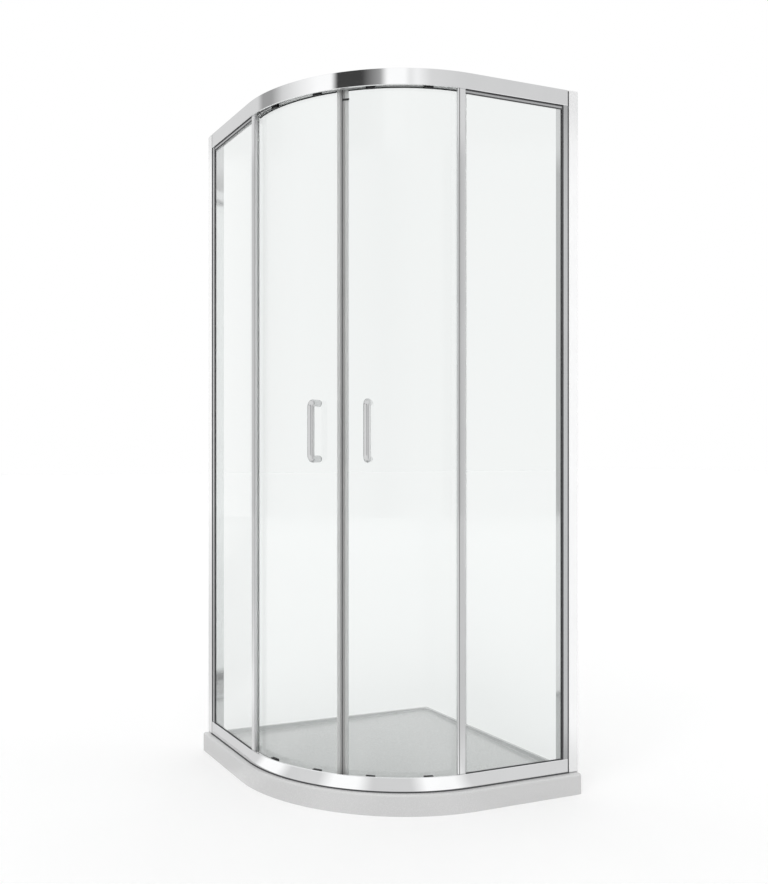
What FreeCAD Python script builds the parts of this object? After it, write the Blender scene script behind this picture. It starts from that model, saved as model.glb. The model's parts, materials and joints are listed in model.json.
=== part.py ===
import FreeCAD, Part
import math
import os
from FreeCAD import Vector

# Quadrant shower enclosure: a low tray, a framed screen across a room corner, and two curved doors
# that roll apart behind the two fixed panels.
#
# Millimetres, +Z up. The origin is the centre of the tray's underside. The room's walls stand at
# the tray's +X and +Y sides, and the quarter-round front faces -X -Y. The left half, the one that
# ends at the +Y wall, is modelled, and the right half is its mirror image about the diagonal.
#
# Two measures place most pieces: "depth" runs from the frame's outer face towards the inside, and
# "reach" runs from the +Y wall along the left fixed panel.

# ---------------------------------------------------------------- overall sizes
tray_side = 800.0
tray_radius = 470.0
tray_height = 55.0
frame_ledge = 18.0
frame_radius = 442.0
enclosure_height = 1835.0

# ---------------------------------------------------------------- tray
tray_edge_round = 6.0
tray_corner_radius = 8.0
basin_wall_rim = 12.0
basin_front_rim = 12.0
basin_corner_radius = 30.0
basin_depth = 7.0
basin_fall = 13.0
basin_floor_round = 3.5
basin_lip_round = 2.0

# ---------------------------------------------------------------- waste
waste_depth = 100.0
waste_hole_radius = 25.0
waste_flange_radius = 42.0
waste_flange_thick = 3.0
waste_flange_proud = 0.5
waste_thread_radius = 24.4
waste_tail_radius = 23.9
waste_bore_radius = 20.0
waste_recess_radius = 65.0
waste_floor_thick = 9.0
waste_tail_clearance = 1.0
seal_washer_thick = 1.5
locknut_radius = 33.0
locknut_thick = 7.0
thread_below_locknut = 1.0
thread_clearance = 0.1
waste_cover_radius = 36.0
waste_cover_thick = 3.0
waste_cover_gap = 5.0
cover_fin_thick = 3.0
cover_fin_length = 12.0
cover_fin_clearance = 0.3
cover_fin_count = 3

# ---------------------------------------------------------------- frame profiles
tray_seal_thick = 1.5
tray_seal_inset = 1.5
rail_depth = 40.0
skin = 2.0
top_fascia = 42.0
top_web_rise = 7.0
track_rise = 14.0
track_slot_half = 4.8
bottom_fascia = 36.5
bottom_web_drop = 12.0
inner_lip_height = 6.0
rail_edge_round = 1.0
wall_profile_width = 30.0
wall_profile_back = 2.5
wall_hole_radius = 3.25
wall_hole_count = 4
wall_hole_spacing = 540.0
cap_thick = 3.0
jamb_fit = 0.3
jamb_wall = 1.5
jamb_back_gap = 8.0
jamb_reach = 46.0
rail_start = 34.0

# ---------------------------------------------------------------- fixed panels
fixed_glass_depth = 5.0
glass_thick = 5.0
gasket_thick = 1.2
glass_in_jamb = 14.0
fixed_glass_past_tangent = 24.0
fixed_glass_top_gap = 16.0
gasket_show = 1.0
jamb_gasket_proud = 5.0
post_start = 15.0
post_end = 38.0
post_groove = 1.4
post_groove_depth = 0.8

# ---------------------------------------------------------------- doors
door_edge_clearance_top = 1.5
door_edge_clearance_bottom = 2.0
door_rear_past_tangent = 12.0
door_front_gap = 7.0
closing_gap = 0.3
closing_seal_width = 16.0
closing_seal_half = 4.5
closing_seal_trim = 2.0
magnet_cover = 1.2
magnet_width = 4.8
magnet_half = 3.0
rear_seal_nose = 4.0
rear_seal_grip = 8.0
rear_seal_half = 4.0
rear_fin_thick = 1.5
rear_fin_gap = 2.0
pole_offset_along = 50.0
pole_offset_across = 15.0
door_swing = 22.5

# ---------------------------------------------------------------- rollers
rear_roller_angle = 194.5
front_roller_angle = 215.0
wheel_radius = 7.7
wheel_width = 6.2
wheel_side_gap = 0.8
wheel_track_gap = 0.3
axle_radius = 2.5
axle_clearance = 0.05
axle_head_radius = 4.0
axle_head_thick = 1.0
axle_end_play = 0.3
carrier_width = 24.0
carrier_jaw = 3.0
carrier_neck_width = 12.0
carrier_neck_half = 1.2
carrier_neck_end = 4.5
top_jaw_grip = 5.5
bottom_jaw_grip = 6.5
top_bridge_gap = 2.0
bottom_bridge_gap = 2.8
clamp_screw_radius = 1.5
clamp_screw_head_radius = 2.4
clamp_screw_head_thick = 1.2
clamp_screw_offset = 7.0
stop_length = 12.0
stop_height = 12.0
stop_side_gap = 0.3
stop_gap = 2.0

# ---------------------------------------------------------------- handles
handle_angle = 215.5
handle_height = 917.0
handle_hole_spacing = 145.0
handle_bar_radius = 9.5
handle_bend_radius = 16.0
handle_stand_off = 15.0
handle_washer_radius = 9.0
handle_washer_thick = 1.0
handle_screw_radius = 3.0
handle_screw_depth = 14.0
handle_screw_head_radius = 7.0
handle_screw_head_thick = 4.0
handle_glass_hole_radius = 4.5
handle_thread_fit = 0.1

# ---------------------------------------------------------------- frame screws
fixing_screw_radius = 2.1
fixing_screw_head_radius = 4.0
fixing_screw_head_thick = 2.2
fixing_screw_length = 6.0
rail_screw_head_radius = 3.0
jamb_screw_count = 3
jamb_screw_spacing = 700.0
screw_clearance = 0.1

# ---------------------------------------------------------------- derived places
wall = tray_side / 2
frame_face = frame_ledge - wall
arc_centre = frame_face + frame_radius
tray_arc_centre = tray_radius - wall
straight_run = wall - arc_centre
left_tangent = math.degrees(math.pi)
right_tangent = math.degrees(math.pi * 3 / 2)
meeting_angle = (left_tangent + right_tangent) / 2
axis_z = Vector(0, 0, 1)
frame_axis = Vector(arc_centre, arc_centre, 0)

tray_top = tray_height
frame_bottom = tray_top + tray_seal_thick
frame_top = tray_top + enclosure_height
top_fascia_edge = frame_top - top_fascia
top_web_edge = top_fascia_edge + top_web_rise
track_top = top_fascia_edge + track_rise
track_bottom = track_top - skin
bottom_fascia_edge = frame_bottom + bottom_fascia
bottom_web_edge = bottom_fascia_edge - bottom_web_drop
rail_floor = frame_bottom + skin
inner_lip_edge = rail_floor + inner_lip_height
rail_roof = frame_top - skin
profile_top = frame_top - cap_thick

slot_outer = fixed_glass_depth - gasket_thick
slot_inner = fixed_glass_depth + glass_thick + gasket_thick
web_inner = slot_inner + jamb_wall
inner_wall = rail_depth - skin
door_line = (web_inner + inner_wall) / 2
door_outer = door_line - glass_thick / 2
door_inner = door_line + glass_thick / 2

door_glass_top = top_web_edge - door_edge_clearance_top
door_glass_bottom = bottom_web_edge + door_edge_clearance_bottom
top_axle_height = track_top + wheel_track_gap + wheel_radius
bottom_axle_height = rail_floor + wheel_track_gap + wheel_radius

basin_edge_depth = rail_depth + basin_front_rim
left_pole = Vector(arc_centre + pole_offset_along, arc_centre + pole_offset_across, 0)


# ---------------------------------------------------------------- shape helpers
def block(x0, x1, y0, y1, z0, z1):
    """A box between two corners."""
    return Part.makeBox(x1 - x0, y1 - y0, z1 - z0, Vector(x0, y0, z0))


def panel_block(depth0, depth1, reach0, reach1, z0, z1):
    """A box in the left fixed panel's own measures."""
    return block(frame_face + depth0, frame_face + depth1, wall - reach1, wall - reach0, z0, z1)


def rod(radius, start, direction, length):
    """A cylinder from a start point along a direction."""
    return Part.makeCylinder(radius, length, start, direction)


def joined(shapes):
    """Several touching solids as one."""
    return shapes[0].multiFuse(shapes[1:]).removeSplitter()


def group(shapes):
    """Separate solids kept in one node."""
    return Part.makeCompound(shapes)


def mirrored(shape):
    """The right-hand copy of a left-hand shape."""
    return shape.mirror(Vector(0, 0, 0), Vector(1, -1, 0).normalize())


def along_arc(length):
    """Degrees that a length takes on the frame's outer arc."""
    return math.degrees(length / frame_radius)


def arc_point(centre, radius, angle):
    """A point on an arc in plan."""
    turn = math.radians(angle)
    return Vector(centre + radius * math.cos(turn), centre + radius * math.sin(turn), 0)


def arc_edge(centre, radius, start, end):
    """An arc in plan between two angles."""
    middle = arc_point(centre, radius, (start + end) / 2)
    arc = Part.Arc(arc_point(centre, radius, start), middle, arc_point(centre, radius, end))
    return arc.toShape()


def line_edge(start, end):
    """A straight edge."""
    return Part.LineSegment(start, end).toShape()


def offset_line(radius, start, end, left, right):
    """The frame's plan line at one radius: a straight, the arc, and the other straight."""
    edges = []
    first = arc_point(arc_centre, radius, start)
    last = arc_point(arc_centre, radius, end)
    if left > 0:
        edges.append(line_edge(first + Vector(0, left, 0), first))
    if end > start:
        edges.append(arc_edge(arc_centre, radius, start, end))
    if right > 0:
        edges.append(line_edge(last, last + Vector(right, 0, 0)))
    return edges


def strip(depth0, depth1, z0, z1, start=left_tangent, end=right_tangent, left=0.0, right=0.0):
    """A wall that follows the frame's line between two depths and two heights."""
    outer = offset_line(frame_radius - depth0, start, end, left, right)
    inner = offset_line(frame_radius - depth1, start, end, left, right)
    outer_ends = (outer[0].Vertexes[0].Point, outer[-1].Vertexes[-1].Point)
    inner_ends = (inner[0].Vertexes[0].Point, inner[-1].Vertexes[-1].Point)
    caps = [line_edge(outer_ends[0], inner_ends[0]), line_edge(outer_ends[1], inner_ends[1])]
    wire = Part.Wire(Part.__sortEdges__(outer + inner + caps))
    face = Part.Face(wire)
    face.translate(Vector(0, 0, z0))
    return face.extrude(Vector(0, 0, z1 - z0))


def on_arc(shape, angle):
    """Turn a shape, made on the line from the arc's centre along +X, to its angle."""
    shape.rotate(frame_axis, axis_z, angle)
    return shape


def at_depth(depth, across=0.0, height=0.0):
    """A point on the +X line from the arc's centre, at a depth from the frame's outer face."""
    return Vector(arc_centre + frame_radius - depth, arc_centre + across, height)


# ---------------------------------------------------------------- tray and waste
waste_centre = arc_point(arc_centre, frame_radius - waste_depth, meeting_angle)
floor_at_waste = tray_top - basin_depth - basin_fall
flange_top = floor_at_waste + waste_flange_proud
flange_seat = flange_top - waste_flange_thick - seal_washer_thick
recess_top = flange_seat - waste_floor_thick
locknut_top = recess_top - seal_washer_thick
locknut_bottom = locknut_top - locknut_thick


def tray_outline():
    """The tray's plan: square, with small corners and the quarter-round front."""
    low = -wall
    tangent = tray_arc_centre
    small = tray_corner_radius
    edges = [
        line_edge(Vector(low, wall - small, 0), Vector(low, tangent, 0)),
        arc_edge(tangent, tray_radius, left_tangent, right_tangent),
        line_edge(Vector(tangent, low, 0), Vector(wall - small, low, 0)),
    ]
    for centre, start in (
        (Vector(wall - small, low + small, 0), 270),
        (Vector(wall - small, wall - small, 0), 0),
        (Vector(low + small, wall - small, 0), 90),
    ):
        edges.append(corner_edge(centre, small, start))
    edges.append(line_edge(Vector(wall, low + small, 0), Vector(wall, wall - small, 0)))
    edges.append(line_edge(Vector(wall - small, wall, 0), Vector(low + small, wall, 0)))
    return Part.Face(Part.Wire(Part.__sortEdges__(edges)))


def corner_edge(centre, radius, start):
    """A quarter arc round a centre, from a start angle."""
    points = []
    for turn in (start, start + 45, start + 90):
        spread = Vector(math.cos(math.radians(turn)), math.sin(math.radians(turn)), 0)
        points.append(centre + spread * radius)
    return Part.Arc(points[0], points[1], points[2]).toShape()


def basin_solid():
    """The hollow of the basin, above a floor that falls towards the waste."""
    far = wall - basin_wall_rim
    side = frame_face + basin_edge_depth
    radius = basin_corner_radius
    edges = [
        arc_edge(arc_centre, frame_radius - basin_edge_depth, left_tangent, right_tangent),
        line_edge(Vector(side, far - radius, 0), Vector(side, arc_centre, 0)),
        line_edge(Vector(arc_centre, side, 0), Vector(far - radius, side, 0)),
        corner_edge(Vector(far - radius, side + radius, 0), radius, 270),
        line_edge(Vector(far, side + radius, 0), Vector(far, far - radius, 0)),
        corner_edge(Vector(far - radius, far - radius, 0), radius, 0),
        line_edge(Vector(far - radius, far, 0), Vector(side + radius, far, 0)),
        corner_edge(Vector(side + radius, far - radius, 0), radius, 90),
    ]
    face = Part.Face(Part.Wire(Part.__sortEdges__(edges)))
    face.translate(Vector(0, 0, floor_at_waste - basin_fall))
    hollow = face.extrude(Vector(0, 0, tray_top - floor_at_waste + basin_fall))
    run = math.dist((far, far), (waste_centre.x, waste_centre.y))
    tilt = math.degrees(math.atan(basin_fall / run))
    reach = 2 * tray_side
    under = block(-reach, reach, -reach, reach, -reach, 0)
    under.rotate(Vector(0, 0, 0), Vector(1, -1, 0), tilt)
    under.translate(Vector(waste_centre.x, waste_centre.y, floor_at_waste))
    return hollow.cut(under)


def rounded_basin():
    """The basin's hollow with its floor edge rounded."""
    hollow = basin_solid()
    floor_edges = [e for e in hollow.Edges if e.BoundBox.ZMax < tray_top - basin_lip_round]
    return hollow.makeFillet(basin_floor_round, floor_edges)


def waste_rod(radius, z0, z1):
    """A vertical cylinder on the waste's axis."""
    return rod(radius, Vector(waste_centre.x, waste_centre.y, z0), axis_z, z1 - z0)


def waste_ring(outer, inner, z0, z1):
    """A vertical ring on the waste's axis."""
    return waste_rod(outer, z0, z1).cut(waste_rod(inner, z0, z1))


def shower_tray():
    """The tray: a low slab with a falling basin, a waste hole and a recess under it."""
    slab = tray_outline().extrude(Vector(0, 0, tray_height))
    rim = [e for e in slab.Edges if e.BoundBox.ZMin > tray_height - 0.01]
    slab = slab.makeFillet(tray_edge_round, rim)
    basin = rounded_basin()
    slab = slab.cut(basin)
    top_edges = [e for e in slab.Edges if e.BoundBox.ZMin > tray_height - 0.01]
    lip = [e for e in top_edges if e.distToShape(basin)[0] < 0.01]
    slab = slab.makeFillet(basin_lip_round, lip)
    slab = slab.cut(waste_rod(waste_hole_radius, 0, tray_height))
    slab = slab.cut(waste_rod(waste_flange_radius + thread_clearance, flange_seat, tray_height))
    return slab.cut(waste_rod(waste_recess_radius, 0, recess_top))


def waste_body():
    """The waste's flange, its thread for the locknut and its tail for the trap, in one piece."""
    flange = waste_rod(waste_flange_radius, flange_top - waste_flange_thick, flange_top)
    thread = waste_rod(waste_thread_radius, locknut_bottom - thread_below_locknut, flange_top)
    tail = waste_rod(waste_tail_radius, waste_tail_clearance, flange_top)
    bore = waste_rod(waste_bore_radius, waste_tail_clearance, flange_top)
    return joined([flange, thread, tail]).cut(bore)


def waste_seals():
    """The flat seals under the flange and above the locknut."""
    bore = waste_thread_radius + thread_clearance
    rim = waste_flange_radius - thread_clearance
    upper = waste_ring(rim, bore, flange_seat, flange_seat + seal_washer_thick)
    lower = waste_ring(locknut_radius, bore, locknut_top, recess_top)
    return group([upper, lower])


def waste_locknut():
    """The ring nut under the tray, with flats for a wrench."""
    corner = Vector(waste_centre.x, waste_centre.y, locknut_bottom)
    points = []
    for index in range(7):
        turn = math.radians(60 * index)
        points.append(corner + Vector(math.cos(turn), math.sin(turn), 0) * locknut_radius)
    prism = Part.Face(Part.makePolygon(points)).extrude(Vector(0, 0, locknut_thick))
    return prism.cut(waste_rod(waste_thread_radius + thread_clearance, locknut_bottom, locknut_top))


def waste_cover():
    """The round cover that stands on fins over the waste."""
    plate_bottom = flange_top + waste_cover_gap
    plate = waste_rod(waste_cover_radius, plate_bottom, plate_bottom + waste_cover_thick)
    rim = [e for e in plate.Edges if e.BoundBox.ZMin > plate_bottom + waste_cover_thick / 2]
    plate = plate.makeFillet(waste_cover_thick / 2, rim)
    pieces = [plate]
    inner = waste_bore_radius - cover_fin_clearance
    shoulder = (waste_bore_radius + waste_cover_radius) / 2
    for index in range(cover_fin_count):
        turn = 360.0 * index / cover_fin_count
        for radius, z0, z1 in (
            (shoulder, flange_top, plate_bottom),
            (inner, flange_top - cover_fin_length, plate_bottom),
        ):
            half = cover_fin_thick / 2
            fin = block(0, radius, -half, half, z0, z1)
            fin.rotate(Vector(0, 0, 0), axis_z, turn)
            fin.translate(Vector(waste_centre.x, waste_centre.y, 0))
            pieces.append(fin)
    return joined(pieces)


# ---------------------------------------------------------------- frame
def tray_seal():
    """The sealing strip between the tray's rim and the frame."""
    depth1 = rail_depth - tray_seal_inset
    return strip(tray_seal_inset, depth1, tray_top, frame_bottom, left=straight_run, right=straight_run)


def rail_strip(depth0, depth1, z0, z1, reach):
    """One wall of a rail, from a reach at the left panel to the same at the right."""
    run = straight_run - reach
    return strip(depth0, depth1, z0, z1, left=run, right=run)


def rounded_outer_edge(rail, height):
    """Round the rail's outer edge at a height, all along its line."""
    edges = []
    for edge in rail.Edges:
        box = edge.BoundBox
        level = abs(box.ZMin - height) < 0.01 and abs(box.ZMax - height) < 0.01
        middle = edge.valueAt((edge.FirstParameter + edge.LastParameter) / 2)
        if level and depth_of(middle) < 0.01 and edge.Length > rail_depth:
            edges.append(edge)
    return rail.makeFillet(rail_edge_round, edges)


def depth_of(point):
    """How far a point lies inside the frame's outer face."""
    if point.y > arc_centre:
        return point.x - frame_face
    if point.x > arc_centre:
        return point.y - frame_face
    return frame_radius - math.dist((point.x, point.y), (arc_centre, arc_centre))


def top_rail():
    """The bent head rail: fascia, glazing slot, and the channel with two lips for the wheels."""
    clear = jamb_reach + jamb_fit
    rail = joined([
        rail_strip(0, skin, top_fascia_edge, frame_top, rail_start),
        rail_strip(0, rail_depth, rail_roof, frame_top, rail_start),
        rail_strip(inner_wall, rail_depth, top_web_edge, frame_top, rail_start),
        rail_strip(skin, slot_outer, top_fascia_edge, top_fascia_edge + skin, clear),
        rail_strip(slot_inner, web_inner, top_web_edge, rail_roof, clear),
        rail_strip(web_inner, door_line - track_slot_half, track_bottom, track_top, clear),
        rail_strip(door_line + track_slot_half, inner_wall, track_bottom, track_top, clear),
    ])
    for height in (top_fascia_edge, frame_top):
        rail = rounded_outer_edge(rail, height)
    return rail


def bottom_rail():
    """The bent sill rail: fascia, glazing slot, roller floor and a low inner lip."""
    clear = jamb_reach + jamb_fit
    rail = joined([
        rail_strip(0, skin, frame_bottom, bottom_fascia_edge, rail_start),
        rail_strip(0, rail_depth, frame_bottom, rail_floor, rail_start),
        rail_strip(inner_wall, rail_depth, frame_bottom, inner_lip_edge, rail_start),
        rail_strip(skin, slot_outer, bottom_fascia_edge - skin, bottom_fascia_edge, clear),
        rail_strip(slot_inner, web_inner, rail_floor, bottom_web_edge, clear),
    ])
    return rounded_outer_edge(rail, bottom_fascia_edge)


def cut_frame_holes(shape):
    """Take the frame screws' clearance holes out of a left-hand profile."""
    for screw in frame_screw_places():
        hole = rod(fixing_screw_radius + screw_clearance, screw, Vector(-1, 0, 0), rail_depth / 4)
        shape = shape.cut(hole)
    return shape


def jamb_screw_heights():
    """The heights of the screws that hold the jamb in the wall profile."""
    middle = (frame_bottom + profile_top) / 2
    first = middle - jamb_screw_spacing * (jamb_screw_count - 1) / 2
    return [first + jamb_screw_spacing * index for index in range(jamb_screw_count)]


def rail_screw_heights():
    """The heights of the screws that hold the two rails to the jamb."""
    return [(rail_floor + inner_lip_edge) / 2, (track_top + rail_roof) / 2]


def frame_screw_places():
    """Where the left frame screws' heads seat, on the profiles' inner faces."""
    jamb_y = wall - (jamb_back_gap + wall_profile_width) / 2
    rail_y = wall - (rail_start + jamb_reach) / 2
    places = [Vector(frame_face + rail_depth, jamb_y, height) for height in jamb_screw_heights()]
    places += [Vector(frame_face + rail_depth, rail_y, height) for height in rail_screw_heights()]
    return places


def left_wall_profile():
    """The U profile that is screwed to the wall."""
    back = panel_block(0, rail_depth, 0, wall_profile_back, frame_bottom, profile_top)
    outer = panel_block(0, skin, 0, wall_profile_width, frame_bottom, profile_top)
    inner = panel_block(inner_wall, rail_depth, 0, wall_profile_width, frame_bottom, profile_top)
    profile = joined([back, outer, inner])
    middle = (frame_bottom + profile_top) / 2
    first = middle - wall_hole_spacing * (wall_hole_count - 1) / 2
    for index in range(wall_hole_count):
        start = Vector(frame_face + rail_depth / 2, wall, first + wall_hole_spacing * index)
        profile = profile.cut(rod(wall_hole_radius, start, Vector(0, -1, 0), wall_profile_back))
    return cut_frame_holes(profile)


def left_profile_cap():
    """The flat cap over the wall profile and the jamb."""
    cap = panel_block(0, rail_depth, 0, rail_start - jamb_fit, profile_top, frame_top)
    rim = [e for e in cap.Edges if e.BoundBox.ZMin > frame_top - 0.01 and e.BoundBox.XMax < frame_face + 1]
    return cap.makeFillet(rail_edge_round, rim)


def left_frame_jamb():
    """The upright that slides in the wall profile and takes the fixed glass in its groove."""
    outer = skin + jamb_fit
    inner = inner_wall - jamb_fit
    z0 = rail_floor
    z1 = profile_top
    groove_back = jamb_reach - glass_in_jamb - gasket_thick
    jamb = panel_block(outer, inner, jamb_back_gap, jamb_reach, z0, z1)
    chamber = panel_block(web_inner, inner - jamb_wall, jamb_back_gap, jamb_reach - jamb_wall, z0, z1)
    side = panel_block(slot_outer, web_inner, jamb_back_gap, groove_back - jamb_wall, z0, z1)
    groove = panel_block(slot_outer, slot_inner, groove_back, jamb_reach, z0, z1)
    jamb = jamb.cut(chamber).cut(side).cut(groove)
    return cut_frame_holes(jamb)


def frame_screws(heights, reach, head_radius):
    """Left-hand screws with a pan head inside the enclosure."""
    screws = []
    for height in heights:
        seat = Vector(frame_face + rail_depth, wall - reach, height)
        head = rod(head_radius, seat, Vector(1, 0, 0), fixing_screw_head_thick)
        rim = [e for e in head.Edges if e.BoundBox.XMin > seat.x + fixing_screw_head_thick / 2]
        head = head.makeFillet(fixing_screw_head_thick / 3, rim)
        shank = rod(fixing_screw_radius, seat, Vector(-1, 0, 0), fixing_screw_length)
        screws.append(joined([head, shank]))
    return screws


# ---------------------------------------------------------------- fixed panels
fixed_run = straight_run - (jamb_reach - glass_in_jamb)
fixed_glass_end = left_tangent + along_arc(fixed_glass_past_tangent)
fixed_glass_bottom = rail_floor + gasket_thick
fixed_glass_top = rail_roof - fixed_glass_top_gap
fixed_glass_inner = fixed_glass_depth + glass_thick
post_from = left_tangent + along_arc(post_start)
post_to = left_tangent + along_arc(post_end)


def left_fixed_glass():
    """The fixed pane, straight from the jamb and just round the start of the arc."""
    return strip(
        fixed_glass_depth, fixed_glass_inner, fixed_glass_bottom, fixed_glass_top,
        end=fixed_glass_end, left=fixed_run,
    )


def left_glazing_gasket():
    """The one-piece gasket round the pane's foot, its jamb edge and its head."""
    run = fixed_run + gasket_thick
    jamb_run = jamb_reach + jamb_gasket_proud - (jamb_reach - glass_in_jamb - gasket_thick)
    low = strip(slot_outer, slot_inner, rail_floor, bottom_fascia_edge - gasket_show, end=post_from, left=run)
    high_bottom = top_fascia_edge + gasket_show
    high_top = fixed_glass_top + gasket_thick
    high = strip(slot_outer, slot_inner, high_bottom, high_top, end=post_from, left=run)
    side_reach = jamb_reach - glass_in_jamb - gasket_thick
    side = panel_block(slot_outer, slot_inner, side_reach, side_reach + jamb_run, rail_floor, high_top)
    return joined([low, high, side]).cut(left_fixed_glass())


def left_fixed_post():
    """The edge post on the pane: a clip over the glass and a hollow nose, with a line between."""
    post = strip(slot_outer, slot_inner, rail_floor, fixed_glass_top, start=post_from, end=post_to)
    wall_turn = along_arc(gasket_thick)
    hollow = strip(
        fixed_glass_depth, fixed_glass_inner, rail_floor, fixed_glass_top,
        start=fixed_glass_end + wall_turn, end=post_to - wall_turn,
    )
    middle = (post_from + post_to) / 2
    half = along_arc(post_groove) / 2
    groove = strip(
        slot_outer, slot_outer + post_groove_depth, rail_floor, fixed_glass_top,
        start=middle - half, end=middle + half,
    )
    return post.cut(left_fixed_glass()).cut(hollow).cut(groove)


# ---------------------------------------------------------------- doors
door_rear = left_tangent + along_arc(door_rear_past_tangent)
door_front = meeting_angle - along_arc(door_front_gap)
seal_end = meeting_angle - along_arc(closing_gap / 2)
seal_top = door_glass_top - closing_seal_trim
seal_bottom = door_glass_bottom + closing_seal_trim


def left_door_pane():
    """The curved door pane before its handle holes are cut."""
    return strip(
        door_outer, door_inner, door_glass_bottom, door_glass_top,
        start=door_rear, end=door_front,
    )


def handle_heights():
    """The heights of the handle's two fixings."""
    middle = tray_top + handle_height
    return (middle - handle_hole_spacing / 2, middle + handle_hole_spacing / 2)


def handle_rod(radius, depth0, depth1, height):
    """A cylinder through the glass at a handle fixing, between two depths."""
    return on_arc(rod(radius, at_depth(depth1, 0, height), Vector(1, 0, 0), depth1 - depth0), handle_angle)


def left_door_glass():
    """The curved door pane with its two handle holes."""
    pane = left_door_pane()
    for height in handle_heights():
        hole = handle_rod(handle_glass_hole_radius, door_outer - 1, door_inner + 1, height)
        pane = pane.cut(hole)
    return pane


def magnet_strip():
    """The bar magnet inside the closing seal."""
    start = meeting_angle - along_arc(closing_gap / 2 + magnet_cover + magnet_width)
    end = meeting_angle - along_arc(closing_gap / 2 + magnet_cover)
    depth0 = door_line - magnet_half
    depth1 = door_line + magnet_half
    return strip(depth0, depth1, seal_bottom + magnet_cover, seal_top - magnet_cover, start=start, end=end)


def left_closing_seal():
    """The seal on the door's front edge, which meets the other door's."""
    start = meeting_angle - along_arc(closing_seal_width)
    depth0 = door_line - closing_seal_half
    depth1 = door_line + closing_seal_half
    body = strip(depth0, depth1, seal_bottom, seal_top, start=start, end=seal_end)
    return body.cut(left_door_pane()).cut(magnet_strip())


def left_rear_seal():
    """The seal on the door's rear edge, with a fin that closes the gap behind the post."""
    start = left_tangent + along_arc(door_rear_past_tangent - rear_seal_nose)
    end = left_tangent + along_arc(door_rear_past_tangent + rear_seal_grip)
    body = strip(
        door_line - rear_seal_half, door_line + rear_seal_half, seal_bottom, seal_top,
        start=start, end=end,
    )
    fin_end = left_tangent + along_arc(door_rear_past_tangent - rear_seal_nose + rear_fin_thick)
    fin = strip(slot_inner + rear_fin_gap, door_line, seal_bottom, seal_top, start=start, end=fin_end)
    return joined([body, fin]).cut(left_door_pane())


def left_handle():
    """The round D handle, with a threaded hole in each foot."""
    low, high = handle_heights()
    foot_depth = door_outer - handle_washer_thick
    bar_depth = -handle_stand_off
    bend = handle_bend_radius
    side = bend * (1 - math.cos(math.radians(45)))
    feet = (at_depth(foot_depth, 0, low), at_depth(foot_depth, 0, high))
    low_bend = (
        at_depth(bar_depth + bend, 0, low),
        at_depth(bar_depth + side, 0, low + side),
        at_depth(bar_depth, 0, low + bend),
    )
    high_bend = (
        at_depth(bar_depth, 0, high - bend),
        at_depth(bar_depth + side, 0, high - side),
        at_depth(bar_depth + bend, 0, high),
    )
    path = Part.Wire([
        line_edge(feet[0], low_bend[0]),
        Part.Arc(low_bend[0], low_bend[1], low_bend[2]).toShape(),
        line_edge(low_bend[2], high_bend[0]),
        Part.Arc(high_bend[0], high_bend[1], high_bend[2]).toShape(),
        line_edge(high_bend[2], feet[1]),
    ])
    section = Part.Wire(Part.makeCircle(handle_bar_radius, feet[0], Vector(1, 0, 0)))
    bar = on_arc(path.makePipeShell([section], True, True), handle_angle)
    for height in (low, high):
        hole_radius = handle_screw_radius + handle_thread_fit
        bar = bar.cut(handle_rod(hole_radius, foot_depth - handle_screw_depth, foot_depth, height))
    return bar


def left_handle_washers():
    """Clear washers on both faces of the glass at each fixing."""
    washers = []
    pane = left_door_pane()
    hole_radius = handle_screw_radius + handle_thread_fit
    outer_face = door_outer - handle_washer_thick
    inner_face = door_inner + handle_washer_thick
    for height in handle_heights():
        hole = handle_rod(hole_radius, outer_face - 1, inner_face + 1, height)
        for depth0, depth1 in ((outer_face, door_line), (door_line, inner_face)):
            disc = handle_rod(handle_washer_radius, depth0, depth1, height)
            washers.append(disc.cut(pane).cut(hole))
    return group(washers)


def left_handle_screws():
    """The dome-headed screws that hold the handle from inside."""
    screws = []
    seat = door_inner + handle_washer_thick
    foot = door_outer - handle_washer_thick
    for height in handle_heights():
        shank = handle_rod(handle_screw_radius, foot - handle_screw_depth + 1, seat, height)
        head = handle_rod(handle_screw_head_radius, seat, seat + handle_screw_head_thick, height)
        head_face = [e for e in head.Edges if is_inner_rim(e, seat + handle_screw_head_thick)]
        head = head.makeFillet(handle_screw_head_thick * 0.6, head_face)
        screws.append(joined([shank, head]))
    return group(screws)


def is_inner_rim(edge, depth):
    """Whether a round edge lies at a depth from the frame's face at the handle's angle."""
    centre = edge.BoundBox.Center
    return edge.Closed and abs(depth_of(centre) - depth) < 0.5


# ---------------------------------------------------------------- rollers
def carrier(angle, top):
    """The clamp on the pane's edge that carries a pair of wheels."""
    half_turn = math.degrees(carrier_width / 2 / (frame_radius - door_line))
    half_depth = glass_thick / 2 + carrier_jaw
    if top:
        jaw_z = (door_glass_top - top_jaw_grip, track_bottom - top_bridge_gap)
        neck_z = (jaw_z[1], top_axle_height + carrier_neck_end)
        axle_height = top_axle_height
    else:
        jaw_z = (bottom_axle_height + wheel_radius + bottom_bridge_gap, door_glass_bottom + bottom_jaw_grip)
        neck_z = (bottom_axle_height - carrier_neck_end, jaw_z[0])
        axle_height = bottom_axle_height
    jaws = strip(
        door_line - half_depth, door_line + half_depth, jaw_z[0], jaw_z[1],
        start=angle - half_turn, end=angle + half_turn,
    )
    middle = at_depth(door_line)
    half_width = carrier_neck_width / 2
    neck = block(
        middle.x - carrier_neck_half, middle.x + carrier_neck_half,
        middle.y - half_width, middle.y + half_width, neck_z[0], neck_z[1],
    )
    body = joined([jaws, on_arc(neck, angle)]).cut(left_door_pane())
    body = body.cut(axle_rod(axle_radius, -carrier_neck_half, carrier_neck_half, angle, axle_height))
    for screw in clamp_screw_shanks(angle, top):
        body = body.cut(screw)
    return body


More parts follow.
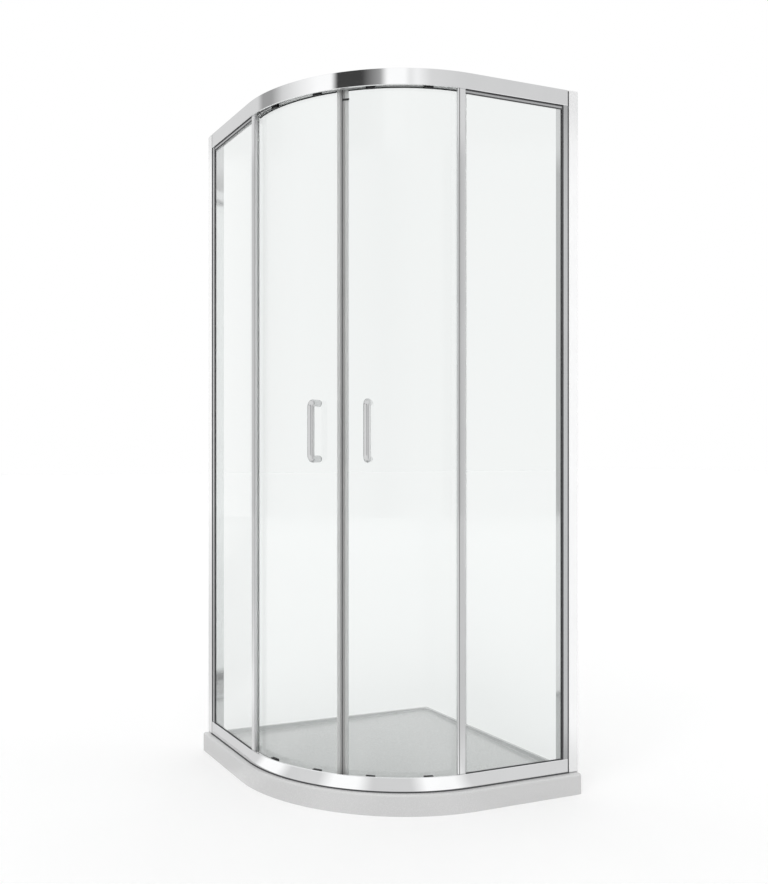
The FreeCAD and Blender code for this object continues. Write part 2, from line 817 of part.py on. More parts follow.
def axle_rod(radius, inward0, inward1, angle, height):
    """A cylinder on a roller's axle line, between two distances inward from the door's line."""
    start = at_depth(door_line + inward1, 0, height)
    return on_arc(rod(radius, start, Vector(1, 0, 0), inward1 - inward0), angle)


def axle_height_at(top):
    """The axle's height above the floor, for a top or a bottom roller."""
    return top_axle_height if top else bottom_axle_height


def roller_axle(angle, top):
    """The headed pin that two wheels turn on."""
    height = axle_height_at(top)
    wheel_face = carrier_neck_half + wheel_side_gap + wheel_width
    head_start = wheel_face + axle_end_play
    head_end = head_start + axle_head_thick
    pin = axle_rod(axle_radius, -head_end, head_end, angle, height)
    outer_head = axle_rod(axle_head_radius, -head_end, -head_start, angle, height)
    inner_head = axle_rod(axle_head_radius, head_start, head_end, angle, height)
    return joined([pin, outer_head, inner_head])


def roller_wheels(angle, top):
    """The pair of wheels on one axle, one each side of the carrier's neck."""
    height = axle_height_at(top)
    near = carrier_neck_half + wheel_side_gap
    far = near + wheel_width
    wheels = []
    for inward0, inward1 in ((-far, -near), (near, far)):
        tyre = axle_rod(wheel_radius, inward0, inward1, angle, height)
        bore = axle_rod(axle_radius + axle_clearance, inward0 - 1, inward1 + 1, angle, height)
        wheels.append(tyre.cut(bore))
    return group(wheels)


def clamp_screw_height(top):
    """The height of a carrier's clamp screws, half-way up its jaws."""
    if top:
        return door_glass_top - top_jaw_grip / 2
    return door_glass_bottom + bottom_jaw_grip / 2


def clamp_screw_rods(radius, inward0, inward1, angle, top):
    """Cylinders at the two clamp screws of a carrier."""
    rods = []
    turn = math.degrees(clamp_screw_offset / (frame_radius - door_line))
    for side in (-turn, turn):
        rods.append(axle_rod(radius, inward0, inward1, angle + side, clamp_screw_height(top)))
    return rods


def clamp_screw_shanks(angle, top):
    """The threaded parts of the clamp screws, as far as the glass."""
    face = glass_thick / 2 + carrier_jaw
    return clamp_screw_rods(clamp_screw_radius, glass_thick / 2, face, angle, top)


def clamp_screws(angle, top):
    """The two screws that pinch a carrier on the glass."""
    face = glass_thick / 2 + carrier_jaw
    end = face + clamp_screw_head_thick
    shanks = clamp_screw_shanks(angle, top)
    heads = clamp_screw_rods(clamp_screw_head_radius, face, end, angle, top)
    return [joined([shank, head]) for shank, head in zip(shanks, heads)]


def opened(point):
    """Where a point of the left door stands when the door is fully open."""
    turn = FreeCAD.Rotation(axis_z, -door_swing)
    return left_pole + turn.multVec(point - left_pole)


def left_stops():
    """The buffers in both rails that end the left door's travel."""
    closed = arc_point(arc_centre, frame_radius - door_line, rear_roller_angle)
    near = opened(closed).y + wheel_radius + stop_gap
    reach1 = wall - near
    reach0 = reach1 - stop_length
    depth0 = web_inner + stop_side_gap
    depth1 = inner_wall - stop_side_gap
    stops = []
    for level in (track_top, rail_floor):
        stops.append(panel_block(depth0, depth1, reach0, reach1, level, level + stop_height))
    return stops


# ---------------------------------------------------------------- the nodes
nodes = {
    "shower_tray": shower_tray(),
    "waste_body": waste_body(),
    "waste_seals": waste_seals(),
    "waste_locknut": waste_locknut(),
    "waste_cover": waste_cover(),
    "tray_seal": tray_seal(),
    "top_rail": top_rail(),
    "bottom_rail": bottom_rail(),
}

jamb_screw_reach = (jamb_back_gap + wall_profile_width) / 2
rail_screw_reach = (rail_start + jamb_reach) / 2
left_jamb_screws = frame_screws(jamb_screw_heights(), jamb_screw_reach, fixing_screw_head_radius)
left_rail_screws = frame_screws(rail_screw_heights(), rail_screw_reach, rail_screw_head_radius)
nodes["jamb_screws"] = group(left_jamb_screws + [mirrored(s) for s in left_jamb_screws])
nodes["rail_screws"] = group(left_rail_screws + [mirrored(s) for s in left_rail_screws])
nodes["door_stops"] = group(left_stops() + [mirrored(s) for s in left_stops()])
for rail_name in ("top_rail", "bottom_rail"):
    rail = cut_frame_holes(nodes[rail_name])
    nodes[rail_name] = mirrored(cut_frame_holes(mirrored(rail)))

left_nodes = {
    "wall_profile": left_wall_profile(),
    "profile_cap": left_profile_cap(),
    "frame_jamb": left_frame_jamb(),
    "fixed_glass": left_fixed_glass(),
    "glazing_gasket": left_glazing_gasket(),
    "fixed_post": left_fixed_post(),
    "door_glass": left_door_glass(),
    "closing_seal": left_closing_seal(),
    "seal_magnet": magnet_strip(),
    "rear_seal": left_rear_seal(),
    "handle": left_handle(),
    "handle_washers": left_handle_washers(),
    "handle_screws": left_handle_screws(),
}
axles = []
pinch_screws = []
for place, roller_angle in (("rear", rear_roller_angle), ("front", front_roller_angle)):
    for level in ("top", "bottom"):
        at_top = level == "top"
        left_nodes[f"{level}_{place}_carrier"] = carrier(roller_angle, at_top)
        left_nodes[f"{level}_{place}_wheels"] = roller_wheels(roller_angle, at_top)
        axles.append(roller_axle(roller_angle, at_top))
        pinch_screws += clamp_screws(roller_angle, at_top)
left_nodes["roller_axles"] = group(axles)
left_nodes["clamp_screws"] = group(pinch_screws)

for name, shape in left_nodes.items():
    nodes["left_" + name] = shape
    nodes["right_" + name] = mirrored(shape)

os.makedirs("parts", exist_ok=True)
for name, shape in nodes.items():
    shape.exportStep("parts/" + name + ".step")
print(len(nodes), "nodes")
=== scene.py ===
"""Quadrant shower enclosure: its visible pieces, their finishes, and a plain pale studio.

Metres, +Z up. The room's walls stand at +X and +Y and the quarter-round front faces -X -Y. The left
half, which ends at the +Y wall, is modelled, and the right half is its mirror image about the
diagonal. "Depth" runs inwards from the frame's outer face and "reach" runs along the left panel
from the +Y wall.
"""

import json
import logging
import math
from collections.abc import Callable, Sequence
from dataclasses import dataclass, field
from enum import Enum
from functools import cache
from typing import Self

import bmesh
import bpy
from mathutils import Matrix, Vector

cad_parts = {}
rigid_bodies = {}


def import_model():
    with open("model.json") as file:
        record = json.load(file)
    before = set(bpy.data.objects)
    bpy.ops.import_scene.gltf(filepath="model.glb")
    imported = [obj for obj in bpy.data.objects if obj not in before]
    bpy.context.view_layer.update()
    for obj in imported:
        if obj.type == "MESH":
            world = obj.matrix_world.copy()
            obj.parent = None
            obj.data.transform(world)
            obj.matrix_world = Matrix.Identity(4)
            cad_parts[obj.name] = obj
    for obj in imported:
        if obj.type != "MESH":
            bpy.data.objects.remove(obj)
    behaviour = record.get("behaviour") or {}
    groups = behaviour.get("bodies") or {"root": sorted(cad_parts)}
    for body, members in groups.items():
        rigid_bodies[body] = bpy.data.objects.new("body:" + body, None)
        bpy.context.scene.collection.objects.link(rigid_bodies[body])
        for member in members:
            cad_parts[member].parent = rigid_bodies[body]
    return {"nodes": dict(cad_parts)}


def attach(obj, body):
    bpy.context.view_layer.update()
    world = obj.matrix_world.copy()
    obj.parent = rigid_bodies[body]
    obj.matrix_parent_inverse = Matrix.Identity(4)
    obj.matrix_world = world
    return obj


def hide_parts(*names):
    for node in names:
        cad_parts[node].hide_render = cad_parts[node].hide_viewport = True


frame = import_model()

MM = 0.001
TINY = 1e-6
CLOSE = 0.3 * MM
EDGE_ON = 0.6
WALL_LIKE = 0.2
ACROSS = Vector((1.0, 0.0, 0.0))
ALONG = Vector((0.0, 1.0, 0.0))
UP = Vector((0.0, 0.0, 1.0))
SWAP_SIDES = Matrix(((0, 1, 0, 0), (1, 0, 0, 0), (0, 0, 1, 0), (0, 0, 0, 1)))
LOG = logging.getLogger("enclosure")

Piece = bpy.types.Object
Face = bpy.types.MeshPolygon
Socket = bpy.types.NodeSocket
Plan = list[tuple[float, float]]
Table = tuple[tuple[float, ...], ...]
Rounds = tuple[Sequence[int], float, int]


def metres(*rows: Sequence[float]) -> Table:
    """The rows of a table that is given in millimetres."""
    return tuple(tuple(value * MM for value in row) for row in rows)


# --- named choices
class Side(Enum):
    """A half of the enclosure."""

    LEFT = "left"
    RIGHT = "right"


class Level(Enum):
    """A roller's rail, by the heights of its clamp's lips, the pane's edge, the bridge and the axle."""

    TOP = (1848 * MM, 1853.5 * MM, 1858 * MM, 1870 * MM)
    BOTTOM = (89.5 * MM, 83 * MM, 77 * MM, 66.5 * MM)


class Place(Enum):
    """Where along its door a roller sits, as degrees round the frame."""

    REAR = 194.5
    FRONT = 215.0


class Grain(Enum):
    """Which way a surface's fine marks run, as the pattern's stretch along X, Y and Z."""

    EVEN = (1.0, 1.0, 1.0)
    UPRIGHT = (1.0, 1.0, 0.03)
    LEVEL = (0.05, 0.05, 1.0)


# --- the frame's plan and levels
@dataclass(frozen=True)
class FrameLine:
    """The line in plan that the screen follows: a straight, a quarter round, and a straight."""

    wall: float = 400 * MM
    face: float = -382 * MM
    radius: float = 442 * MM
    steps: int = 72

    @property
    def centre(self) -> float:
        """Where the quarter round's centre lies, along X and along Y."""
        return self.face + self.radius

    @property
    def axis(self) -> Vector:
        """The quarter round's centre, on the floor."""
        return Vector((self.centre, self.centre, 0.0))

    def straight(self, depth: float, reach: float, height: float) -> Vector:
        """The point of the left straight at a depth, reach and height."""
        return Vector((self.face + depth, self.wall - reach, height))

    def section(self, corners: Plan, reach: float) -> list[Vector]:
        """A section's corners, given as depth and height, square to the left straight."""
        return [self.straight(depth, reach, height) for depth, height in corners]

    def plan(self, corners: Plan, height: float) -> list[Vector]:
        """Level corners at the left straight, given as depth and reach."""
        return [self.straight(depth, reach, height) for depth, reach in corners]

    def bent(self, corners: Plan, height: float) -> list[Vector]:
        """Level corners at the quarter round, given as degrees and depth."""
        return [self.arc(depth, angle, height) for angle, depth in corners]

    def arc(self, depth: float, angle: float, height: float) -> Vector:
        """The point of the quarter round at a depth, angle and height; 225 degrees is its middle."""
        turn, reach = math.radians(angle), self.radius - depth
        return Vector((self.centre + reach * math.cos(turn), self.centre + reach * math.sin(turn), height))

    def past_tangent(self, length: float) -> float:
        """The angle that lies a length past the left tangent, along the outer face."""
        return 180.0 + math.degrees(length / self.radius)

    def before_middle(self, length: float) -> float:
        """The angle that lies a length before the middle of the front, along the outer face."""
        return 225.0 - math.degrees(length / self.radius)

    def turned(self, angle: float) -> Matrix:
        """The turn round the arc's centre that takes the +X line to an angle."""
        turn = Matrix.Rotation(math.radians(angle), 4, "Z")
        return Matrix.Translation(self.axis) @ turn @ Matrix.Translation(-self.axis)

    def bearing(self, point: Vector) -> Vector:
        """The level direction that the frame's outer face looks at a point."""
        if point.y > self.centre:
            return -ACROSS
        if point.x > self.centre:
            return -ALONG
        return (point.xy.to_3d() - self.axis).normalized()

    def depth(self, point: Vector) -> float:
        """How far inwards from the frame's outer face a point lies."""
        return self.radius - (point.xy.to_3d() - self.axis).dot(self.bearing(point))


LINE = FrameLine()


@dataclass(frozen=True)
class Levels:
    """Heights above the floor."""

    tray_top: float = 55 * MM
    frame_bottom: float = 56.5 * MM
    rail_floor: float = 58.5 * MM
    sill_lip: float = 64.5 * MM
    sill_web: float = 81 * MM
    sill_fascia: float = 93 * MM
    head_fascia: float = 1848 * MM
    head_web: float = 1855 * MM
    track_low: float = 1860 * MM
    track_high: float = 1862 * MM
    fixed_glass_low: float = 59.7 * MM
    fixed_glass_high: float = 1872 * MM
    door_glass_low: float = 83 * MM
    door_glass_high: float = 1853.5 * MM
    profile_top: float = 1887 * MM
    roof: float = 1888 * MM
    frame_top: float = 1890 * MM


@dataclass(frozen=True)
class Depths:
    """Distances inwards from the frame's outer face."""

    skin: float = 2 * MM
    slot_outer: float = 3.8 * MM
    glass_outer: float = 5 * MM
    glass_inner: float = 10 * MM
    slot_inner: float = 11.2 * MM
    web: float = 12.7 * MM
    track_outer: float = 20.55 * MM
    door_outer: float = 22.85 * MM
    door_line: float = 25.35 * MM
    door_inner: float = 27.85 * MM
    track_inner: float = 30.15 * MM
    inner_wall: float = 38 * MM
    rail: float = 40 * MM


Z = Levels()
D = Depths()


# --- modelling
def pick(piece: Piece | None = None) -> None:
    """Leave edit mode and select one piece alone, or nothing."""
    if bpy.context.object and bpy.context.object.mode != "OBJECT":
        bpy.ops.object.mode_set(mode="OBJECT")
    bpy.ops.object.select_all(action="DESELECT")
    if piece:
        bpy.context.view_layer.objects.active = piece
        piece.select_set(True)


def modify(piece: Piece, kind: str, **settings: object) -> None:
    """Add a modifier with these settings to a piece, and apply it."""
    pick(piece)
    modifier = piece.modifiers.new(kind.title(), kind)
    for key, value in settings.items():
        setattr(modifier, key, value)
    bpy.ops.object.modifier_apply(modifier=modifier.name)


def ring(centre: Vector, radius: float, sides: int, first: Vector, second: Vector) -> list[Vector]:
    """A regular outline's corners, from the first way to the second, a quarter turn on, and round."""
    turns = (math.tau * i / sides for i in range(sides))
    return [centre + radius * (math.cos(turn) * first + math.sin(turn) * second) for turn in turns]


class Workpiece:
    """One mesh piece on the bench, shaped in edit mode. Each step returns the workpiece."""

    def __init__(self, name: str, corners: Sequence[Vector], *rounds: Rounds) -> None:
        """Lay the first flat face.

        Args:
            name: The piece's name.
            corners: The face's corners, in order.
            rounds: Which corners are rounded, by which radius and with how many edges.
        """
        pick()
        bpy.ops.mesh.primitive_circle_add(vertices=len(corners), fill_type="NGON")
        self.object: Piece = bpy.context.object
        self.object.name = self.object.data.name = name
        bpy.ops.object.mode_set(mode="EDIT")
        self._shape(corners, rounds)

    def _sheet(self) -> bmesh.types.BMesh:
        """The mesh being edited."""
        return bmesh.from_edit_mesh(self.object.data)

    def _shape(self, corners: Sequence[Vector], rounds: Sequence[Rounds]) -> None:
        """Put the selected corners, in their own order, at their places, and round some."""
        sheet = self._sheet()
        for vertex, corner in zip([v for v in sheet.verts if v.select], corners):
            vertex.co = corner
        bmesh.update_edit_mesh(self.object.data)
        for chosen, radius, segments in (row for row in rounds if row[0]):
            spots = [corners[i] for i in chosen]
            sheet = self._sheet()
            face = [vertex for vertex in sheet.verts if vertex.select]
            marks = {v.index for v in face if any((v.co - spot).length < TINY for spot in spots)}
            self._pick("VERT", lambda vertex: vertex.index in marks)
            bpy.ops.mesh.bevel(offset=radius, segments=segments, affect="VERTICES")
            bpy.ops.mesh.select_linked()

    @staticmethod
    def _pick_all() -> None:
        """Select the whole mesh."""
        bpy.ops.mesh.select_all(action="SELECT")

    def _pick(self, mode: str, test: Callable[..., bool]) -> None:
        """Select the vertices or the edges that pass a test, alone."""
        bpy.ops.mesh.select_all(action="DESELECT")
        bpy.ops.mesh.select_mode(type=mode)
        sheet = self._sheet()
        for item in sheet.verts if mode == "VERT" else sheet.edges:
            item.select_set(test(item))
        sheet.select_flush_mode()
        bmesh.update_edit_mesh(self.object.data)

    def lay(self, corners: Sequence[Vector], *rounds: Rounds) -> Self:
        """Lay one more flat face in the same piece, selected alone."""
        bpy.ops.mesh.select_all(action="DESELECT")
        bpy.ops.mesh.primitive_circle_add(vertices=len(corners), fill_type="NGON")
        self._shape(corners, rounds)
        return self

    def round_edges(self, width: float, segments: int, ends: Callable[[bmesh.types.BMVert], bool],
                    also: Callable[[bmesh.types.BMEdge], bool] = lambda edge: True) -> Self:
        """Round some of the edges.

        Args:
            width: The rounding's width.
            segments: Faces across it.
            ends: The test that both ends of an edge have to pass.
            also: A test that the edge itself has to pass.

        Returns:
            This workpiece.
        """
        self._pick("EDGE", lambda edge: all(map(ends, edge.verts)) and also(edge))
        bpy.ops.mesh.bevel(offset=width, segments=segments, affect="EDGES", clamp_overlap=True)
        return self

    def pull(self, x: float = 0.0, y: float = 0.0, z: float = 0.0) -> Self:
        """Extrude the selection in a straight line."""
        bpy.ops.mesh.extrude_region_move(TRANSFORM_OT_translate={"value": (x, y, z)})
        return self

    def swing(self, centre: Vector, axis: Vector, angle: float, steps: int) -> Self:
        """Extrude the selection round an axis through a centre, by right-handed degrees, in steps."""
        bpy.ops.mesh.spin(steps=steps, angle=-math.radians(angle), center=centre, axis=axis, dupli=False)
        return self

    def follow(self, run: float) -> Self:
        """Extrude the selection down the left straight, round the arc and up the right straight."""
        return self.pull(y=-run).swing(LINE.axis, UP, 90.0, LINE.steps).pull(x=run)

    def lathe(self, centre: Vector, axis: Vector, steps: int) -> Self:
        """Turn the outlines, without their faces, all the way round an axis."""
        self._pick_all()
        bpy.ops.mesh.delete(type="ONLY_FACE")
        self._pick_all()
        self.swing(centre, axis, 360.0, steps)._pick_all()
        bpy.ops.mesh.remove_doubles(threshold=TINY)
        bpy.ops.mesh.delete_loose(use_verts=True, use_edges=True)
        return self

    def ease(self, width: float, sharp: float = 40.0) -> Self:
        """Round all edges that are sharper than an angle, in degrees."""
        modify(self.object, "BEVEL", width=width, segments=2, limit_method="ANGLE",
               angle_limit=math.radians(sharp), use_clamp_overlap=True)
        bpy.ops.object.mode_set(mode="EDIT")
        return self

    def cut(self, tool: Self) -> Self:
        """Take another workpiece's volume out of this one, and use it up."""
        modify(self.object, "BOOLEAN", operation="DIFFERENCE", solver="EXACT", object=tool.object)
        bpy.data.objects.remove(tool.object)
        bpy.ops.object.mode_set(mode="EDIT")
        return self

    def finish(self, smooth: float = 35.0) -> Piece:
        """Close the seams, face the surfaces outwards and smooth the edges flatter than an angle."""
        self._pick_all()
        bpy.ops.mesh.remove_doubles(threshold=TINY)
        bpy.ops.mesh.normals_make_consistent(inside=False)
        bpy.ops.object.mode_set(mode="OBJECT")
        bpy.ops.object.shade_smooth_by_angle(angle=math.radians(smooth))
        return self.object


def twin(piece: Piece, name: str, turn: Matrix) -> Piece:
    """Copy a finished piece to another place, with its own mesh.

    Args:
        piece: The finished piece.
        name: The copy's name.
        turn: Where the copy goes. A mirror image has its faces turned out again.

    Returns:
        The copy.
    """
    pick(piece)
    bpy.ops.object.duplicate(linked=False)
    copy = bpy.context.object
    copy.name = copy.data.name = name
    copy.data.transform(turn)
    if turn.is_negative:
        copy.data.flip_normals()
    return copy


def place(piece: Piece, body: str, slot: str, *nodes: str) -> None:
    """Let a finished piece ride on its body and stand for its nodes.

    Args:
        piece: The finished piece, whose large faces keep their own direction beside its roundings.
        body: The body that it moves with.
        slot: Not used.
        nodes: The solid model's nodes that it stands for.
    """
    modify(piece, "WEIGHTED_NORMAL", keep_sharp=True)
    if nodes:
        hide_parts(*nodes)
    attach(piece, body)
    LOG.info("%s: %d faces, rides on %s", piece.name, len(piece.data.polygons), body)


def place_pair(left: Piece, base: str, moving: str | None, slot: str, *nodes: str) -> None:
    """Place a left-hand piece and its right-hand twin.

    Args:
        left: The finished left-hand piece.
        base: The pieces' name without their side.
        moving: The moving body's name without its side, or None for the fixed enclosure.
        slot: The record's material slot.
        nodes: The nodes' names without their side.
    """
    right = twin(left, f"{Side.RIGHT.value}_{base}", SWAP_SIDES)
    left.name = f"{Side.LEFT.value}_{base}"
    for side, piece in zip(Side, (left, right)):
        body = f"{side.value}_{moving}" if moving else "enclosure"
        place(piece, body, slot, *[f"{side.value}_{node}" for node in nodes])


# --- finishes
class NodeBoard:
    """A node tree, with the few patterns that the finishes share."""

    def __init__(self, owner: bpy.types.Material | bpy.types.World, main: str = "Principled BSDF") -> None:
        """Take the tree of a new material or world, with its main shader."""
        self.owner = owner
        owner.use_nodes = True
        self.tree = owner.node_tree
        self.shader = self.tree.nodes[main]

    def show(self, shader: Socket) -> None:
        """Let the surface show a shader other than the main one."""
        self.tree.links.new(shader, self.shader.outputs[0].links[0].to_socket)

    def feed(self, node: bpy.types.Node, inputs: dict[str | int, object]) -> None:
        """Give inputs their values, or link them to the outputs that drive them."""
        for key, value in inputs.items():
            if isinstance(value, Socket):
                self.tree.links.new(value, node.inputs[key])
            else:
                node.inputs[key].default_value = value

    def add(self, kind: str, inputs: dict[str | int, object], output: str | int = 0,
            **settings: object) -> Socket:
        """Add a node.

        Args:
            kind: The node's type.
            inputs: Its inputs, each with its value or with the output that drives it.
            output: The output that is wanted.
            settings: The node's own settings.

        Returns:
            That output.
        """
        node = self.tree.nodes.new(f"ShaderNode{kind}")
        for key, value in settings.items():
            setattr(node, key, value)
        self.feed(node, inputs)
        return node.outputs[output]

    def marks(self, grain: Grain, scale: float, detail: float = 4.0) -> Socket:
        """Noise in the object's own coordinates, with its marks per metre and its finer layers."""
        stretched = self.add("Mapping", {"Vector": self.add("TexCoord", {}, "Object"), "Scale": grain.value})
        return self.add("TexNoise", {"Vector": stretched, "Scale": scale, "Detail": detail})

    def spread(self, value: Socket, low: float = 0.0, high: float = 1.0) -> Socket:
        """Stretch a noise's middle range over two limits."""
        limits = {"From Min": 0.3, "From Max": 0.7, "To Min": low, "To Max": high}
        return self.add("MapRange", {"Value": value, **limits})

    def tint(self, value: Socket, colour: Sequence[float], share: float) -> None:
        """Let the base colour wander from a colour to a share of it."""
        shades = {6: (*colour, 1.0), 7: (*(share * level for level in colour), 1.0)}
        mixed = self.add("Mix", {0: value, **shades}, 2, data_type="RGBA")
        self.feed(self.shader, {"Base Color": mixed})

    def bump(self, height: Socket, depth: float) -> None:
        """Raise the surface by a pattern, up to a full height."""
        raised = self.add("Bump", {"Height": height, "Distance": depth})
        self.feed(self.shader, {"Normal": raised})

    def rays(self, *kinds: str) -> Socket:
        """One where any of these rays looks, and nought elsewhere."""
        path = self.add("LightPath", {}).node.outputs
        value = path[kinds[0]]
        for kind in kinds[1:]:
            value = self.add("Math", {0: value, 1: path[kind]}, operation="MAXIMUM")
        return value


@dataclass(frozen=True)
class Metal:
    """A bright metal with faint smudges and marks along its length."""

    name: str
    colour: tuple[float, float, float]
    smooth: float
    dull: float
    grain: Grain = Grain.EVEN
    scratch: float = 0.004 * MM
    bare: float = 1.0

    def dress(self, board: NodeBoard) -> None:
        """Set the shader up."""
        board.tint(board.spread(board.marks(Grain.EVEN, scale=9.0)), self.colour, share=0.965)
        lines = board.marks(self.grain, scale=420.0, detail=6.0)
        board.bump(lines, self.scratch)
        roughness = board.spread(lines, self.smooth, self.dull)
        board.feed(board.shader, {"Roughness": roughness, "Metallic": self.bare})


@dataclass(frozen=True)
class Moulding:
    """A moulded plastic or rubber with a fine skin."""

    name: str
    colour: tuple[float, float, float]
    roughness: float
    skin: float = 0.02 * MM
    skin_scale: float = 900.0
    variation: float = 0.06
    coat: float = 0.0

    def dress(self, board: NodeBoard) -> None:
        """Set the shader up."""
        board.tint(board.spread(board.marks(Grain.EVEN, scale=14.0)), self.colour, 1.0 - self.variation)
        grit = board.marks(Grain.EVEN, self.skin_scale, detail=3.0)
        board.bump(grit, self.skin)
        roughness = board.spread(grit, self.roughness * 0.9, min(1.0, self.roughness * 1.15))
        board.feed(board.shader, {"Roughness": roughness, "Coat Weight": self.coat, "Coat Roughness": 0.06})


@dataclass(frozen=True)
class Glazing:
    """Clear toughened glass, with the faint waves that toughening leaves."""

    name: str
    colour: tuple[float, float, float]
    roughness: float = 0.0
    wave: float = 0.012 * MM

    def dress(self, board: NodeBoard) -> None:
        """Set the shader up, and let lamps through so that what is behind stays lit."""
        board.bump(board.marks(Grain.UPRIGHT, scale=7.0, detail=1.0), self.wave)
        board.feed(board.shader, {"Base Color": (*self.colour, 1.0), "Transmission Weight": 1.0,
                                  "IOR": 1.46, "Roughness": self.roughness})
        clear = board.add("BsdfTransparent", {"Color": (*(0.97 * level for level in self.colour), 1.0)})
        shadow = board.rays("Is Shadow Ray")
        mixed = board.add("MixShader", {0: shadow, 1: board.shader.outputs[0], 2: clear})
        board.show(mixed)


@dataclass(frozen=True)
class SoftSeal:
    """Translucent flexible plastic, with fine lines from the die along its length."""

    name: str
    colour: tuple[float, float, float]
    clear: float
    roughness: float = 0.34
    line: float = 0.03 * MM

    def dress(self, board: NodeBoard) -> None:
        """Set the shader up."""
        lines = board.marks(Grain.UPRIGHT, scale=700.0, detail=3.0)
        board.tint(board.spread(lines), self.colour, share=0.93)
        board.bump(lines, self.line)
        board.feed(board.shader, {"Roughness": self.roughness, "Transmission Weight": self.clear,
                                  "IOR": 1.18})


Finish = Metal | Moulding | Glazing | SoftSeal

POLISHED = Metal("polished_profile", (0.86, 0.865, 0.87), 0.035, 0.075, Grain.LEVEL)
UPRIGHT_POLISHED = Metal("polished_upright", (0.88, 0.885, 0.89), 0.045, 0.09, Grain.UPRIGHT)
PALE_UPRIGHT = Metal("pale_upright", (0.93, 0.932, 0.935), 0.10, 0.16, Grain.UPRIGHT, bare=0.4)
# A brushed metal with a darker base colour; on the jamb the darker colour is painted shade for its set-back
# face.
DARK_BRUSHED_UPRIGHT = Metal("brushed_upright", (0.50, 0.505, 0.51), 0.14, 0.22, Grain.UPRIGHT)
# Dark metal that paints the shade inside the sill rail's channel and on the floor of the post's groove.
PAINTED_SHADE_METAL = Metal("shaded_metal", (0.24, 0.242, 0.244), 0.38, 0.5, Grain.LEVEL)
MILL_METAL = Metal("mill_metal", (0.86, 0.862, 0.865), 0.38, 0.5, Grain.LEVEL, bare=0.3)
SATIN_EDGE = Metal("satin_edge", (0.80, 0.805, 0.81), 0.34, 0.46, Grain.UPRIGHT)
SATIN_CHROME = Metal("satin_chrome", (0.66, 0.665, 0.67), 0.13, 0.21, Grain.UPRIGHT, 0.006 * MM)
CHROME = Metal("bright_chrome", (0.80, 0.81, 0.82), 0.03, 0.08)
STEEL = Metal("stainless_fixing", (0.55, 0.55, 0.56), 0.22, 0.34)
GLASS = Glazing("toughened_glass", (0.885, 0.905, 0.898))
GLASS_EDGE = Glazing("ground_glass_edge", (0.83, 0.895, 0.875), 0.18)
SEAL = SoftSeal("soft_seal", (0.86, 0.865, 0.86), 0.68)
WASHER = SoftSeal("washer_plastic", (0.86, 0.87, 0.87), 0.7, 0.2)
TRAY_WHITE = Moulding("gloss_tray", (0.625, 0.625, 0.625), 0.26, 0.003 * MM, 420.0, 0.008, 0.2)
DARK_NOSE = Moulding("seal_nose", (0.14, 0.14, 0.14), 0.5)
DARK_MAGNET = Moulding("magnet_strip", (0.10, 0.095, 0.09), 0.6)
RUBBER = Moulding("gasket_rubber", (0.055, 0.055, 0.058), 0.62, 0.03 * MM)
BLACK_NYLON = Moulding("carrier_nylon", (0.018, 0.018, 0.02), 0.42, 0.02 * MM)
WHITE_ACETAL = Moulding("wheel_acetal", (0.78, 0.78, 0.76), 0.35, 0.01 * MM)
GREY_CAP = Moulding("cap_plastic", (0.66, 0.67, 0.68), 0.32, 0.015 * MM)
PALE_CAP = Moulding("pale_cap_plastic", (0.86, 0.862, 0.865), 0.30, 0.015 * MM)


@cache
def material_of(finish: Finish) -> bpy.types.Material:
    """A finish's material, built at its first use."""
    board = NodeBoard(bpy.data.materials.new(finish.name))
    finish.dress(board)
    return board.owner


def dress(piece: Piece, main: Finish, *others: tuple[Finish, Callable[[Face], bool]]) -> Piece:
    """Give a piece a finish, and others where its faces pass a test.

    Args:
        piece: The piece.
        main: The finish of most faces.
        others: Further finishes, each with its test. A later one goes over an earlier one.

    Returns:
        The piece.
    """
    piece.data.materials.clear()
    piece.data.materials.append(material_of(main))
    for index, (finish, test) in enumerate(others, 1):
        piece.data.materials.append(material_of(finish))
        for face in piece.data.polygons:
            if test(face):
                face.material_index = index
    return piece


def is_edge(face: Face) -> bool:
    """Whether a face looks along the frame or up, not out of it or into it."""
    return abs(face.normal.dot(LINE.bearing(face.center))) < EDGE_ON


